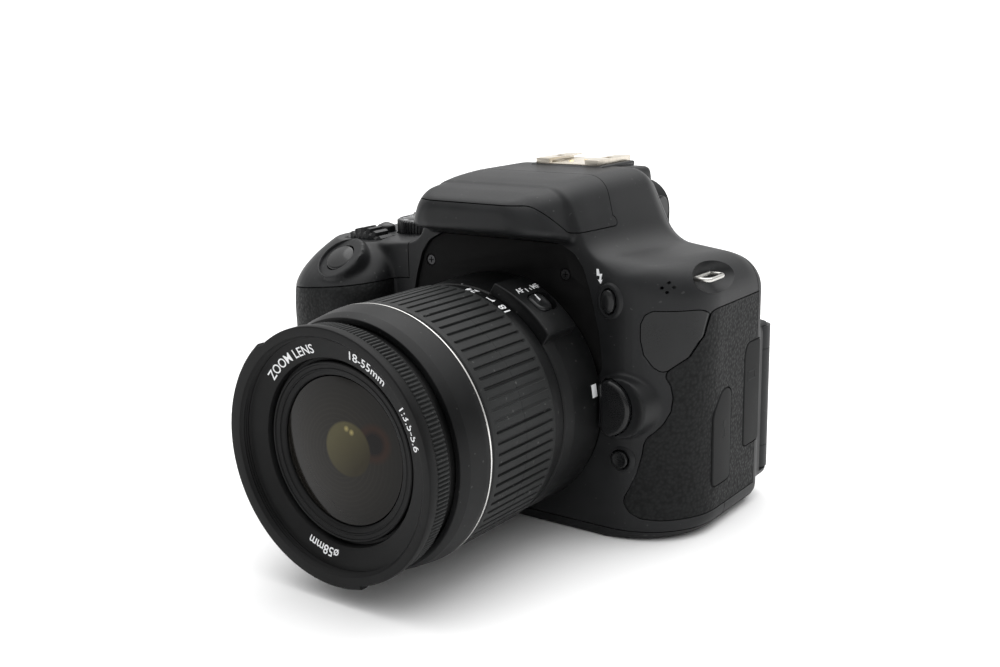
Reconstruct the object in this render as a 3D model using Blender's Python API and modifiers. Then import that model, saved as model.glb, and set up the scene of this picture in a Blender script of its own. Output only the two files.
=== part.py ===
"""A DSLR camera with a standard zoom lens, built as separate pieces for Blender 4.5.

+X is the camera's left-hand side (right in a front view), +Y runs back along the lens axis
and +Z is up. Pieces are drawn in millimetres from the base's underside, the lens axis and
the lens mount's front face. settle() then moves them back by SEAT_Y, so that the origin lies
on the base's flat underside.
"""

import math

import bmesh
import bpy
from mathutils import Matrix, Vector

MM = 0.001
GAP = 0.3                      # clearance between pieces that touch
WALL = 2.6                     # thickness of the plastic covers
SKIN = 1.1                     # thickness of the rubber skins
SEAT_Y = 12.0                  # from the mount's face back to the origin, on the base

# Body
AXIS_Z = 37.8                  # lens axis above the base
LEFT_X = 57.6                  # left-hand side (+X)
RIGHT_X = -75.2                # grip side (-X)
FRONT_Y = 0.6                  # front wall beside the lens mount
BACK_Y = 50.0                  # rear wall
CORNER_DEPTH = 21.4            # how far back the +X front corner sweeps
CORNER_START_X = 36.0          # where that sweep leaves the front wall
DECK_Z = 77.5                  # top deck on the grip side, at the hump
DECK_FALL = 2.5                # how much lower the deck is at its outer edge
BASE_THICK = 2.6
SIDE_SEAM_Y = 27.3             # front cover meets rear cover, under the side skin
SHOULDER_SEAM_Z = 62.0         # above this the front cover runs back to TOP_BACK_SEAM_Y
TOP_BACK_SEAM_Y = 45.6         # front and top covers meet the rear cover
DECK_SEAM_X = -33.3            # front cover meets top cover, beside the hump

BOSS_FRONT_Y = -1.9            # swelling around the lens release button
BOSS_RADIUS = 9.6
GRIP_SKIN_BACK = 27.0          # rear edge of the rubber around the grip
GRIP_SKIN_X = -39.2            # its edge beside the lens
SKIN_LOW_Z = 5.0               # lower edge of the rubber around the grip
SKIN_TOP_DROP = 0.8            # from the top cover's seam down to that rubber

# Flash hump
LID_BACK_Y = 33.0
LID_HINGE = (0.0, 32.5, 97.0)
LID_THICK = 2.2
WELL_FLOOR_Z = 83.9

# Mount and base
PLATE_Y = 1.6                  # front and rear of the arched plate behind the lens
PLATE_BACK_Y = 4.0
THROAT_RADIUS = 26.9
SOCKET_Y = 27.0                # tripod socket
SOCKET_RADIUS = 6.4

# Controls
RELEASE = (38.6, 38.4)         # x, z of the lens release button
RELEASE_RADIUS = 8.0
MAIN_DIAL = (-54.0, 7.4, 69.9)
MAIN_DIAL_RADIUS = 9.5
MAIN_DIAL_HALF = 3.4          # half its width
MODE_DIAL = (-43.6, 23.4, 75.2)
MODE_RADIUS = 9.9
POWER = (-57.5, 38.0, 75.4)
POWER_RADIUS = 4.4
DIOPTER = (22.2, 51.0, 84.0)
TIMER_LAMP = (-36.7, 3.0, 56.0)
TIMER_LAMP_RADIUS = 1.8

# Fittings
STRAPS = {1: (53.6, 21.3, 71.4), -1: (-71.4, 30.0, 69.1)}   # side: middle of the loop's foot
STRAP_REACH = 3.3
PORT_OUT_X = 57.9
PORT_IN_X = 56.5
MIRROR_HINGE = (0.0, 29.4, 52.2)

# Lens, as radius and distance forward of the mount face
LENS_FRONT = 71.7
LENS_STEPS = 40                # segments around the turned lens pieces
SWITCH_ANGLE = 54.0            # the focus switch, from +X towards the top
SWITCH_Y = -10.7               # where it stands in its slot
SLOT_Y = -9.7                  # the slot's middle

# Screen
SCREEN_LOW = (-27.2, 8.4)      # x, z of the screen panel's lower corner
SCREEN_HIGH = (48.9, 52.0)
SCREEN_Y = (51.0, 58.6)
SCREEN_PIVOT = (53.2, 55.1)    # x, y of the upright hinge axis
COLUMN_RADIUS = 4.0            # hinge column about that axis


# ---------------------------------------------------------------- helpers

def clear_scene():
    for old in list(bpy.data.objects):
        bpy.data.objects.remove(old, do_unlink=True)


def collection(name, hidden=False):
    made = bpy.data.collections.new(name)
    bpy.context.scene.collection.children.link(made)
    made.hide_render = hidden
    return made


def material(name, colour, roughness, metallic=0.0):
    found = bpy.data.materials.get(name)
    if found:
        return found
    made = bpy.data.materials.new(name)
    made.use_nodes = True
    shader = made.node_tree.nodes["Principled BSDF"]
    shader.inputs["Base Color"].default_value = (*colour, 1.0)
    shader.inputs["Roughness"].default_value = roughness
    shader.inputs["Metallic"].default_value = metallic
    return made


FINISHES = {
    "shell_plastic": ((0.030, 0.031, 0.033), 0.50, 0.0),
    "rubber_skin": ((0.024, 0.025, 0.026), 0.85, 0.0),
    "lens_plastic": ((0.022, 0.022, 0.023), 0.42, 0.0),
    "grip_rubber": ((0.018, 0.018, 0.019), 0.75, 0.0),
    "button_plastic": ((0.020, 0.020, 0.021), 0.35, 0.0),
    "bright_metal": ((0.72, 0.70, 0.66), 0.28, 1.0),
    "dark_metal": ((0.20, 0.20, 0.20), 0.45, 1.0),
    "optical_glass": ((0.10, 0.10, 0.09), 0.05, 0.0),
    "screen_glass": ((0.012, 0.013, 0.015), 0.06, 0.0),
    "clear_window": ((0.75, 0.77, 0.80), 0.15, 0.0),
    "circuit_board": ((0.03, 0.16, 0.07), 0.55, 0.0),
    "battery_case": ((0.06, 0.06, 0.07), 0.45, 0.0),
}


def keep_object(name, mesh, group):
    made = bpy.data.objects.new(name, mesh)
    group.objects.link(made)
    if group is CUTTERS:
        made.hide_render = True
        made.display_type = "WIRE"
    return made


def finish(obj, slot):
    """Gives a piece its material and smooth shading with sharp edges."""
    obj.data.materials.clear()
    obj.data.materials.append(material(slot, *FINISHES[slot]))
    obj.data.shade_smooth()
    obj.data.set_sharp_from_angle(angle=math.radians(35))
    return obj


def evaluated(obj, name, group):
    """A mesh object holding obj as its modifiers leave it, in world space. obj is removed."""
    bpy.context.view_layer.update()
    graph = bpy.context.evaluated_depsgraph_get()
    mesh = bpy.data.meshes.new_from_object(obj.evaluated_get(graph))
    mesh.transform(obj.matrix_world)
    mesh.name = name
    bm = bmesh.new()
    bm.from_mesh(mesh)
    bmesh.ops.remove_doubles(bm, verts=bm.verts, dist=1e-6)
    bmesh.ops.dissolve_degenerate(bm, edges=bm.edges, dist=1e-6)
    bm.to_mesh(mesh)
    bm.free()
    bpy.data.objects.remove(obj, do_unlink=True)
    return keep_object(name, mesh, group)


def is_closed(mesh):
    bm = bmesh.new()
    bm.from_mesh(mesh)
    closed = bool(bm.faces) and all(edge.is_manifold for edge in bm.edges)
    bm.free()
    return closed


def combine(target, others, operation):
    """Boolean of target with each of others in turn, left as a plain mesh."""
    for other in others:
        for solver in ("EXACT", "MANIFOLD"):
            trial = copy_of(target, target.name, target.users_collection[0])
            boolean = trial.modifiers.new(operation.lower(), "BOOLEAN")
            boolean.operation = operation
            boolean.solver = solver
            boolean.object = other
            trial = evaluated(trial, target.name, target.users_collection[0])
            if is_closed(trial.data) or solver == "MANIFOLD":
                break
            bpy.data.objects.remove(trial, do_unlink=True)
        name = target.name
        bpy.data.objects.remove(target, do_unlink=True)
        target = trial
        target.name = name
    return target


def cut(target, *others):
    return combine(target, others, "DIFFERENCE")


def join(target, *others):
    return combine(target, others, "UNION")


def keep_inside(target, *others):
    return combine(target, others, "INTERSECT")


def copy_of(obj, name, group):
    return keep_object(name, obj.data.copy(), group)


def loft(name, rings, group):
    """A closed solid through rings of (x, y, z) points, all with the same number of points."""
    bm = bmesh.new()
    loops = [[bm.verts.new(Vector(point) * MM) for point in ring] for ring in rings]
    count = len(rings[0])
    for first, second in zip(loops, loops[1:]):
        for i in range(count):
            j = (i + 1) % count
            bm.faces.new((first[i], first[j], second[j], second[i]))
    bm.faces.new(loops[0])
    bm.faces.new(loops[-1])
    bmesh.ops.recalc_face_normals(bm, faces=bm.faces)
    mesh = bpy.data.meshes.new(name)
    bm.to_mesh(mesh)
    bm.free()
    return keep_object(name, mesh, group)


def box(name, low, high, group, bevel=0.0, steps=1):
    bm = bmesh.new()
    bmesh.ops.create_cube(bm, size=1.0)
    low, high = Vector(low) * MM, Vector(high) * MM
    size = high - low
    bmesh.ops.scale(bm, vec=size, verts=bm.verts)
    bmesh.ops.translate(bm, vec=(low + high) / 2, verts=bm.verts)
    mesh = bpy.data.meshes.new(name)
    bm.to_mesh(mesh)
    bm.free()
    made = keep_object(name, mesh, group)
    if bevel:
        return rounded(made, bevel, steps)
    return made


def rounded(obj, width, steps=1, angle=40):
    bevel = obj.modifiers.new("rounding", "BEVEL")
    bevel.width = width * MM
    bevel.segments = steps
    bevel.limit_method = "ANGLE"
    bevel.angle_limit = math.radians(angle)
    return evaluated(obj, obj.name, obj.users_collection[0])


def facing(direction):
    """Rotation that takes +Z to direction."""
    return Vector(direction).to_track_quat("Z", "Y").to_matrix().to_4x4()


def cylinder(name, base, direction, radius, height, group, steps=24, top_radius=None):
    """A cylinder or cone from base along direction."""
    bm = bmesh.new()
    bmesh.ops.create_cone(
        bm, cap_ends=True, segments=steps, radius1=radius * MM,
        radius2=(radius if top_radius is None else top_radius) * MM, depth=height * MM)
    bmesh.ops.translate(bm, vec=(0, 0, height * MM / 2), verts=bm.verts)
    place = Matrix.Translation(Vector(base) * MM) @ facing(direction)
    bmesh.ops.transform(bm, matrix=place, verts=bm.verts)
    mesh = bpy.data.meshes.new(name)
    bm.to_mesh(mesh)
    bm.free()
    return keep_object(name, mesh, group)


def turned(name, profile, group, steps=48, base=(0, 0, AXIS_Z), direction=(0, -1, 0)):
    """A closed profile of (radius, height) turned about direction. It runs anticlockwise."""
    bm = bmesh.new()
    points = [bm.verts.new((r * MM, 0, h * MM)) for r, h in profile]
    for first, second in zip(points, points[1:] + points[:1]):
        bm.edges.new((first, second))
    mesh = bpy.data.meshes.new(name)
    bm.to_mesh(mesh)
    bm.free()
    made = keep_object(name, mesh, group)
    made.matrix_world = Matrix.Translation(Vector(base) * MM) @ facing(direction)
    screw = made.modifiers.new("turn", "SCREW")
    screw.steps = screw.render_steps = steps
    screw.use_merge_vertices = True
    screw.merge_threshold = 1e-5
    screw.use_normal_calculate = True
    made = evaluated(made, name, group)
    bm = bmesh.new()
    bm.from_mesh(made.data)
    bmesh.ops.recalc_face_normals(bm, faces=bm.faces)
    bm.to_mesh(made.data)
    bm.free()
    return made


def plate(name, outline, start, end, group, axis="Y"):
    """A flat outline given thickness from start to end along axis: a filled, extruded curve.

    The outline is (x, z) for axis Y, (y, z) for axis X and (x, y) for axis Z.
    """
    curve = bpy.data.curves.new(name, "CURVE")
    curve.dimensions = "2D"
    curve.fill_mode = "BOTH"
    curve.extrude = abs(end - start) / 2 * MM
    spline = curve.splines.new("POLY")
    spline.points.add(len(outline) - 1)
    for point, (u, v) in zip(spline.points, outline):
        point.co = (u * MM, v * MM, 0, 1)
    spline.use_cyclic_u = True
    made = keep_object(name, curve, group)
    middle = (start + end) / 2 * MM
    made.matrix_world = {
        "Z": Matrix.Translation((0, 0, middle)),
        "Y": Matrix.Translation((0, middle, 0)) @ Matrix.Rotation(math.pi / 2, 4, "X"),
        "X": Matrix.Translation((middle, 0, 0))
        @ Matrix(((0, 0, 1, 0), (1, 0, 0, 0), (0, 1, 0, 0), (0, 0, 0, 1))),
    }[axis]
    return evaluated(made, name, group)


def arc(centre, radius, start, end, steps):
    """Points of an arc in degrees, ends included. radius may be (horizontal, vertical)."""
    across, up = radius if isinstance(radius, tuple) else (radius, radius)
    angles = [math.radians(start + (end - start) * i / steps) for i in range(steps + 1)]
    return [(centre[0] + across * math.cos(a), centre[1] + up * math.sin(a)) for a in angles]


def filleted(corners, steps):
    """A closed outline whose corners (u, v, radius) are rounded, steps segments to each."""
    points = []
    count = len(corners)
    for i, (u, v, radius) in enumerate(corners):
        here = Vector((u, v))
        back = Vector(corners[i - 1][:2]) - here
        ahead = Vector(corners[(i + 1) % count][:2]) - here
        angle = back.angle(ahead)
        reach = radius / math.tan(angle / 2)
        reach = min(reach, back.length * 0.49, ahead.length * 0.49)
        first, last = here + back.normalized() * reach, here + ahead.normalized() * reach
        radius = reach * math.tan(angle / 2)
        middle = here + (back.normalized() + ahead.normalized()).normalized() * (
            radius / math.sin(angle / 2))
        start, end = first - middle, last - middle
        turn = start.angle_signed(end)
        for k in range(steps + 1):
            a = -turn * k / steps
            points.append((
                middle.x + start.x * math.cos(a) - start.y * math.sin(a),
                middle.y + start.x * math.sin(a) + start.y * math.cos(a)))
    return points


def shrunk(corners, amount):
    """The corners of an anticlockwise polygon moved in by amount, radii adjusted."""
    moved = []
    count = len(corners)
    for i, (u, v, radius) in enumerate(corners):
        here = Vector((u, v))
        one = (here - Vector(corners[i - 1][:2])).normalized()
        two = (Vector(corners[(i + 1) % count][:2]) - here).normalized()
        inward = (Vector((-one.y, one.x)) + Vector((-two.y, two.x))).normalized()
        across = max(0.3, inward.dot(Vector((-one.y, one.x))))
        convex = one.cross(two) > 0
        moved.append((
            u + inward.x * amount / across, v + inward.y * amount / across,
            max(0.3, radius - amount) if convex else radius + amount))
    return moved


def between(table, at):
    """Row of values at a station, by monotone cubic interpolation of (station, values...)."""
    stations = [row[0] for row in table]
    if at <= stations[0]:
        return list(table[0][1:])
    if at >= stations[-1]:
        return list(table[-1][1:])
    k = max(i for i, s in enumerate(stations) if s <= at)
    width = stations[k + 1] - stations[k]
    t = (at - stations[k]) / width
    values = []
    for column in range(1, len(table[0])):
        slope = [
            (table[i + 1][column] - table[i][column]) / (stations[i + 1] - stations[i])
            for i in range(len(table) - 1)]

        def tangent(i):
            if i in (0, len(table) - 1):
                return slope[0] if i == 0 else slope[-1]
            before, after = slope[i - 1], slope[i]
            return 0.0 if before * after <= 0 else 2 * before * after / (before + after)

        a, b = table[k][column], table[k + 1][column]
        values.append(
            (2 * t**3 - 3 * t**2 + 1) * a + (t**3 - 2 * t**2 + t) * width * tangent(k)
            + (3 * t**2 - 2 * t**3) * b + (t**3 - t**2) * width * tangent(k + 1))
    return values


# ---------------------------------------------------------------- outer forms

# y, shoulder corner z and radius, hump foot x and z, hump top edge x and z
HUMP_TABLE = [
    (0.6, 71.5, 6.0, 28.6, 79.6, 21.6, 96.2),
    (8.0, 74.6, 9.0, 29.6, 79.0, 22.4, 97.0),
    (20.0, 76.0, 11.0, 31.0, 78.2, 23.0, 97.5),
    (40.0, 74.6, 10.0, 31.6, 77.6, 22.8, 97.5),
    (50.0, 71.5, 9.0, 30.0, 75.6, 20.5, 95.0),
]
# y, half width at the nose's underside, half width at its top edge, top z, underside z
NOSE_TABLE = [
    (-14.6, 14.5, 12.5, 90.8, 86.0),
    (-13.6, 18.6, 15.6, 92.8, 84.8),
    (-11.0, 21.4, 18.0, 94.0, 84.3),
    (-6.0, 24.0, 20.0, 95.3, 83.2),
    (3.0, 26.0, 21.3, 95.9, 80.4),
]
# z, front y, outer front corner x, inner side x, outer corner radius
GRIP_TABLE = [
    (0.0, -9.6, -73.0, -42.0, 16.0),
    (2.5, -11.4, RIGHT_X, -39.8, 16.0),
    (30.0, -14.2, RIGHT_X, -39.4, 20.0),
    (55.0, -15.6, RIGHT_X, -39.6, 22.0),
    (62.5, -15.0, -75.0, -39.8, 22.0),
    (66.0, -13.0, -74.3, -40.2, 22.0),
    (70.0, -8.8, -72.6, -41.0, 22.0),
    (73.4, -4.6, -69.9, -42.0, 22.0),
    (75.9, -1.0, -67.2, -43.4, 21.0),
]


def corner_x(y):
    """The +X side's reach at y: an elliptical sweep from the front wall to the flank."""
    t = min(1.0, max(0.0, (y - FRONT_Y) / CORNER_DEPTH))
    return CORNER_START_X + (LEFT_X - CORNER_START_X) * math.sqrt(1 - (1 - t) ** 2)


def right_x(y):
    """The -X side's reach at y. The grip covers its front part."""
    t = min(1.0, max(0.0, (y - FRONT_Y) / 14.0))
    return -40.0 + (RIGHT_X + 40.0) * math.sqrt(1 - (1 - t) ** 2)


def body_corners(y):
    """Corners of the body's section at y, anticlockwise in a front view."""
    shoulder_z, shoulder_r, foot_x, foot_z, top_x, top_z = between(HUMP_TABLE, y)
    left, right = corner_x(y), right_x(y)
    foot_x = min(foot_x, left - 6.0)
    return [
        (right, 0.0, 5.0),
        (left, 0.0, 5.5),
        (left + 0.2, shoulder_z, shoulder_r),
        (foot_x, foot_z, 11.0),
        (top_x, top_z, 8.0),
        (-top_x, top_z, 8.0),
        (-foot_x - 0.4, DECK_Z, 7.0),
        (right, DECK_Z - DECK_FALL, 9.0),
    ]


def body_form(name, group, stations, steps, inset=0.0):
    """The main body with the hump, as sections along Y. Its rear edge is rounded."""
    rings = []
    for y in stations:
        depth = BACK_Y - inset - y
        edge = 3.0
        extra = 0.0 if depth >= edge else edge - math.sqrt(max(0.0, edge**2 - (edge - depth) ** 2))
        outline = filleted(shrunk(body_corners(y), inset + extra), steps)
        rings.append([(x, y, z) for x, z in outline])
    return loft(name, rings, group)


def nose_form(name, group, stations, steps, inset=0.0):
    """The overhanging front of the hump."""
    rings = []
    for y in stations:
        low, high, top, under = between(NOSE_TABLE, y)
        corners = [(-low, under, 1.6), (low, under, 1.6), (high, top, 6.5), (-high, top, 6.5)]
        rings.append([(x, y, z) for x, z in filleted(shrunk(corners, inset), steps)])
    return loft(name, rings, group)


def grip_form(name, group, levels, steps, inset=0.0):
    """The hand grip, as plan sections up Z."""
    rings = []
    for z in levels:
        front, outer, inner, radius = between(GRIP_TABLE, z)
        corners = [
            (outer, 26.0, 2.0), (outer, front, radius), (inner, front, 12.0), (inner + 2.0, 26.0, 2.0)]
        rings.append([(x, y, z) for x, y in filleted(shrunk(corners, inset), steps)])
    return loft(name, rings, group)


def whole_form(name, group, inset=0.0):
    """The camera body's outer shape, or the shape lying inset inside it."""
    front, back = FRONT_Y + inset, BACK_Y - inset
    stations = [
        front, front + 0.8, 3.6, 6.5, 10.5, 15.5, 22.0, 31.0, 40.0,
        back - 3.0, back - 1.4, back - 0.3, back]
    body = body_form(name, group, sorted(stations), 3, inset)
    levels = [inset, 2.5 + inset * 0.6, 30.0, 55.0, 62.5, 67.0, 71.0, 74.0 - inset * 0.6, 75.9 - inset]
    grip = grip_form(name + "_grip", CUTTERS, levels, 3, inset)
    nose_stations = [-14.6 + inset, -13.4 + inset, -10.5, -5.0, 3.0 + inset * 2]
    nose = nose_form(name + "_nose", CUTTERS, nose_stations, 3, inset)
    parts = [grip, nose]
    if inset < WALL:
        parts += [release_boss(name, inset), screen_surround(name, inset), thumb_rest(name, inset)]
    parts.append(eyepiece_block(name, inset))
    return join(body, *parts)


def release_boss(name, inset):
    """The round swelling of the front wall that holds the release button."""
    height = 12.0 - BOSS_FRONT_Y - inset
    return cylinder(
        name + "_boss", (RELEASE[0] + 1.0, 12.0, RELEASE[1]), (0, -1, 0), BOSS_RADIUS + 1.8 - inset,
        height, CUTTERS, 24, BOSS_RADIUS - 1.4 - inset)


def screen_surround(name, inset):
    """The raised frame that the screen folds into."""
    low = (SCREEN_LOW[0] - 3.2 + inset, 44.0, 5.6 + inset)
    high = (LEFT_X - 0.4 - inset, 57.6 - inset, 53.4 - inset)
    return box(name + "_surround", low, high, CUTTERS, 2.6, 2)


def eyepiece_block(name, inset):
    """The housing behind the hump that carries the eyepiece and the rear of the hot shoe."""
    outline = [
        (44.0, 64.0 + inset), (57.6 - inset, 64.0 + inset), (57.6 - inset, 85.0),
        (55.8 - inset, 96.4 - inset), (44.0, 97.2 - inset)]
    made = plate(name + "_eyepiece", outline, inset - 17.8, 17.8 - inset, CUTTERS, "X")
    return rounded(made, 1.8, 2)


def thumb_rest(name, inset):
    """The raised right-hand side of the back, where the thumb lies."""
    outline = filleted(shrunk([
        (RIGHT_X + 1.4, 5.0, 4.0), (-32.0, 5.0, 2.0), (-32.0, 66.0, 6.0), (-40.0, 73.0, 8.0),
        (RIGHT_X + 1.4, 73.0, 9.0)], inset), 2)
    made = plate(name + "_thumb_rest", outline, 44.0, 54.6 - inset, CUTTERS)
    return rounded(made, 2.0, 2)


# ---------------------------------------------------------------- regions of the covers

# Rubber boundary on the front left corner, as x and z in a front view
SIDE_RUBBER_EDGE = [
    (60.0, 63.9), (57.4, 63.9), (56.6, 57.0), (54.6, 51.6), (49.8, 47.6), (51.6, 42.0),
    (51.4, 37.2), (49.6, 33.4), (46.0, 30.2), (45.0, 26.0), (43.4, 19.0), (41.2, 14.0),
    (40.4, 11.0), (42.0, 8.2), (46.0, 6.6), (60.0, 6.4),
]
BADGE_EDGE = [
    (57.0, 64.2), (47.2, 64.6), (45.2, 63.4), (44.4, 61.0), (44.6, 56.0), (45.6, 52.6),
    (47.6, 49.6), (49.6, 47.9), (54.2, 51.9), (56.2, 57.0),
]
THUMB_RUBBER_EDGE = [(-78.0, 47.0), (-62.0, 47.0), (-57.0, 52.0), (-57.0, 64.0), (-78.0, 64.0)]
# Outline of the plate behind the lens, above the lens axis
ARCH = [
    (-33.6, 30.0), (33.6, 30.0), (33.8, 45.0), (32.2, 58.0), (29.8, 68.0), (27.6, 74.6),
    (24.8, 78.4), (20.0, 80.9), (-20.0, 80.9), (-24.8, 78.4), (-27.6, 74.6), (-29.8, 68.0),
    (-32.2, 58.0), (-33.8, 45.0),
]
FAR = 120.0                    # reach of cutters that run past the whole body


def grown(outline, amount):
    """A polygon's points moved outwards from its own edges, whichever way round it runs."""
    area = sum(a[0] * b[1] - b[0] * a[1] for a, b in zip(outline, outline[1:] + outline[:1]))
    corners = [(u, v, 0.3) for u, v in (outline if area > 0 else outline[::-1])]
    return [(u, v) for u, v, _ in shrunk(corners, -amount)]


def rubber_regions(grow):
    """Solids holding the side skin, the badge, the grip skin and the thumb skin."""
    side = plate("side_region", grown(SIDE_RUBBER_EDGE, grow), -4.0, TOP_BACK_SEAM_Y + grow, CUTTERS)
    badge = plate("badge_region", grown(BADGE_EDGE, grow), -4.0, 18.6 + grow, CUTTERS)
    low, edge = SKIN_LOW_Z - grow, GRIP_SKIN_X + grow
    grip = plate(
        "grip_region", [
            (-FAR, low), (edge, low), (edge, deck_seam(edge) - SKIN_TOP_DROP + grow),
            (-FAR, deck_seam(-FAR) - SKIN_TOP_DROP + grow)],
        -FAR, GRIP_SKIN_BACK + grow, CUTTERS)
    thumb = plate("thumb_region", grown(THUMB_RUBBER_EDGE, grow), 49.0, 60.0, CUTTERS)
    return {"side_rubber": side, "name_badge": badge, "grip_rubber": grip, "thumb_rubber": thumb}


CUTTERS = None
CAMERA = None


def region_box(low, high, bevel=0.0):
    return box("region", low, high, CUTTERS, bevel)


def covers():
    """The moulded covers, the base and the rubber skins, cut from the one outer form."""
    outer = whole_form("outer", CUTTERS)
    under_skin = whole_form("under_skin", CUTTERS, SKIN)
    floor = whole_form("floor", CUTTERS, SKIN + GAP)
    cavity = whole_form("cavity", CUTTERS, WALL)
    # The flash well's floor and back wall stay solid.
    cavity = cut(cavity, region_box((-FAR, -FAR, WELL_FLOOR_Z - 2.0), (FAR, LID_BACK_Y + 3.0, FAR)))
    skins = rubber_regions(0.0)
    holes = rubber_regions(GAP)
    ports = [plate("port", outline, 50.0, 60.0, CUTTERS, "X") for outline in port_outlines(GAP)]
    for name, region in skins.items():
        piece = keep_inside(copy_of(outer, name, CAMERA), region)
        piece = cut(piece, under_skin)
        if name == "side_rubber":
            piece = cut(piece, holes["name_badge"], *ports)
        finish(piece, "rubber_skin" if name != "name_badge" else "lens_plastic")
    low_slice = region_box((-FAR, -FAR, -5.0), (FAR, FAR, BASE_THICK))
    base = keep_inside(copy_of(outer, "base_cover", CAMERA), low_slice)
    base = cut(
        base, battery_door_region(GAP),
        cylinder("socket_hole", (0, SOCKET_Y, -1), (0, 0, 1), SOCKET_RADIUS + GAP, 6, CUTTERS))
    finish(base, "shell_plastic")
    shell = cut(outer, *holes.values(), *ports)
    shell = join(shell, floor)
    shell = cut(shell, cavity, arch_region(GAP))
    shell = join(shell, strap_block(1, under_skin), strap_block(-1, under_skin))
    shell = cut(shell, strap_pocket(1), strap_pocket(-1))
    shell = cut(shell, *button_holes(), *opening_holes())
    shell = cut(shell, cylinder("barrel_room", (0, -20, AXIS_Z), (0, 1, 0), 34.3, 20.3, CUTTERS, 48))

    above = BASE_THICK + GAP
    rear_low = region_box((-FAR, SIDE_SEAM_Y, above), (FAR, FAR, SHOULDER_SEAM_Z))
    rear_high = region_box((-FAR, TOP_BACK_SEAM_Y, above), (FAR, FAR, FAR))
    rear_region = join(rear_low, rear_high)
    rear = keep_inside(copy_of(shell, "rear_cover", CAMERA), rear_region)
    finish(rear, "shell_plastic")

    seam = [(-FAR, deck_seam(-FAR)), (DECK_SEAM_X, deck_seam(DECK_SEAM_X)), (DECK_SEAM_X, FAR), (-FAR, FAR)]
    deck = plate("deck_region", seam, -FAR, TOP_BACK_SEAM_Y - GAP, CUTTERS)
    front_edge = region_box((-FAR, -FAR, -FAR), (FAR, FAR, above))
    front_rear = region_box((-FAR, SIDE_SEAM_Y - GAP, -FAR), (FAR, FAR, SHOULDER_SEAM_Z + GAP))
    front_back = region_box((-FAR, TOP_BACK_SEAM_Y - GAP, -FAR), (FAR, FAR, FAR))
    top = keep_inside(copy_of(shell, "top_cover", CAMERA), deck)
    finish(cut(top, front_rear), "shell_plastic")

    deck_gap = plate("deck_gap", grown(seam, GAP), -FAR, FAR, CUTTERS)
    front = copy_of(shell, "front_cover", CAMERA)
    front = cut(front, front_edge, front_rear, front_back, deck_gap, lid_region(GAP), flash_well())
    finish(front, "shell_plastic")

    lid = keep_inside(copy_of(whole_form("lid_form", CUTTERS), "flash_lid", CAMERA), lid_region(0.0))
    finish(cut(lid, whole_form("lid_inside", CUTTERS, LID_THICK)), "shell_plastic")


def deck_seam(x):
    """Height of the seam around the grip's top, which rises towards the lens."""
    return 66.4 + (x + 35.4) * 0.117


LID_OUTLINE = [
    (-20.0, 92.6), (-10.6, 92.6), (-1.0, 84.4), (LID_BACK_Y, 84.4), (LID_BACK_Y, FAR), (-20.0, FAR)]


def lid_region(grow):
    return plate("lid_region", grown(LID_OUTLINE, grow), -FAR, FAR, CUTTERS, "X")


def flash_well():
    """The hollow under the lid, which holds the lamp."""
    return region_box((-16.6, -12.2, 86.2), (16.6, 4.0, FAR))


def arch_region(grow):
    bottom = arc((0, AXIS_Z), (33.4, 32.9), 180, 360, 16)
    outline = bottom + ARCH[2:]
    return plate("arch", grown(outline, grow), FRONT_Y - 0.6, PLATE_BACK_Y + grow, CUTTERS)


def strap_block(side, inside):
    """Solid plastic around a strap pocket, so that the pocket is closed."""
    x, y, z = STRAPS[side]
    low, high = sorted((x - side * 4.4, x + side * 9.0))
    block = box("strap_block", (low, y - 13.5, z - 6.4), (high, y + 14.5, z + 12.0), CUTTERS)
    return keep_inside(block, inside)


def strap_pocket(side):
    """A scooped hollow in the shoulder around the strap loop."""
    bm = bmesh.new()
    bmesh.ops.create_uvsphere(bm, u_segments=16, v_segments=8, radius=1.0)
    bmesh.ops.scale(bm, vec=Vector((7.4, 12.0, 5.4)) * MM, verts=bm.verts)
    x, y, z = STRAPS[side]
    bmesh.ops.translate(bm, vec=Vector((x + side * 5.0, y + 0.6, z + 1.6)) * MM, verts=bm.verts)
    mesh = bpy.data.meshes.new("pocket")
    bm.to_mesh(mesh)
    bm.free()
    return keep_object("pocket", mesh, CUTTERS)


PORTS = {
    "mic_port_cover": [
        (18.8, 13.0, 2.0), (29.6, 13.0, 2.0), (29.6, 40.0, 5.0), (23.8, 40.0, 4.5), (18.8, 34.0, 5.0)],
    "video_port_cover": [
        (37.8, 19.4, 2.0), (47.9, 19.4, 1.0), (47.9, 49.8, 1.0), (39.2, 49.8, 3.0), (37.8, 46.4, 2.0)],
}


def port_outlines(grow):
    return [filleted(shrunk(corners, -grow), 3) for corners in PORTS.values()]


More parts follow.
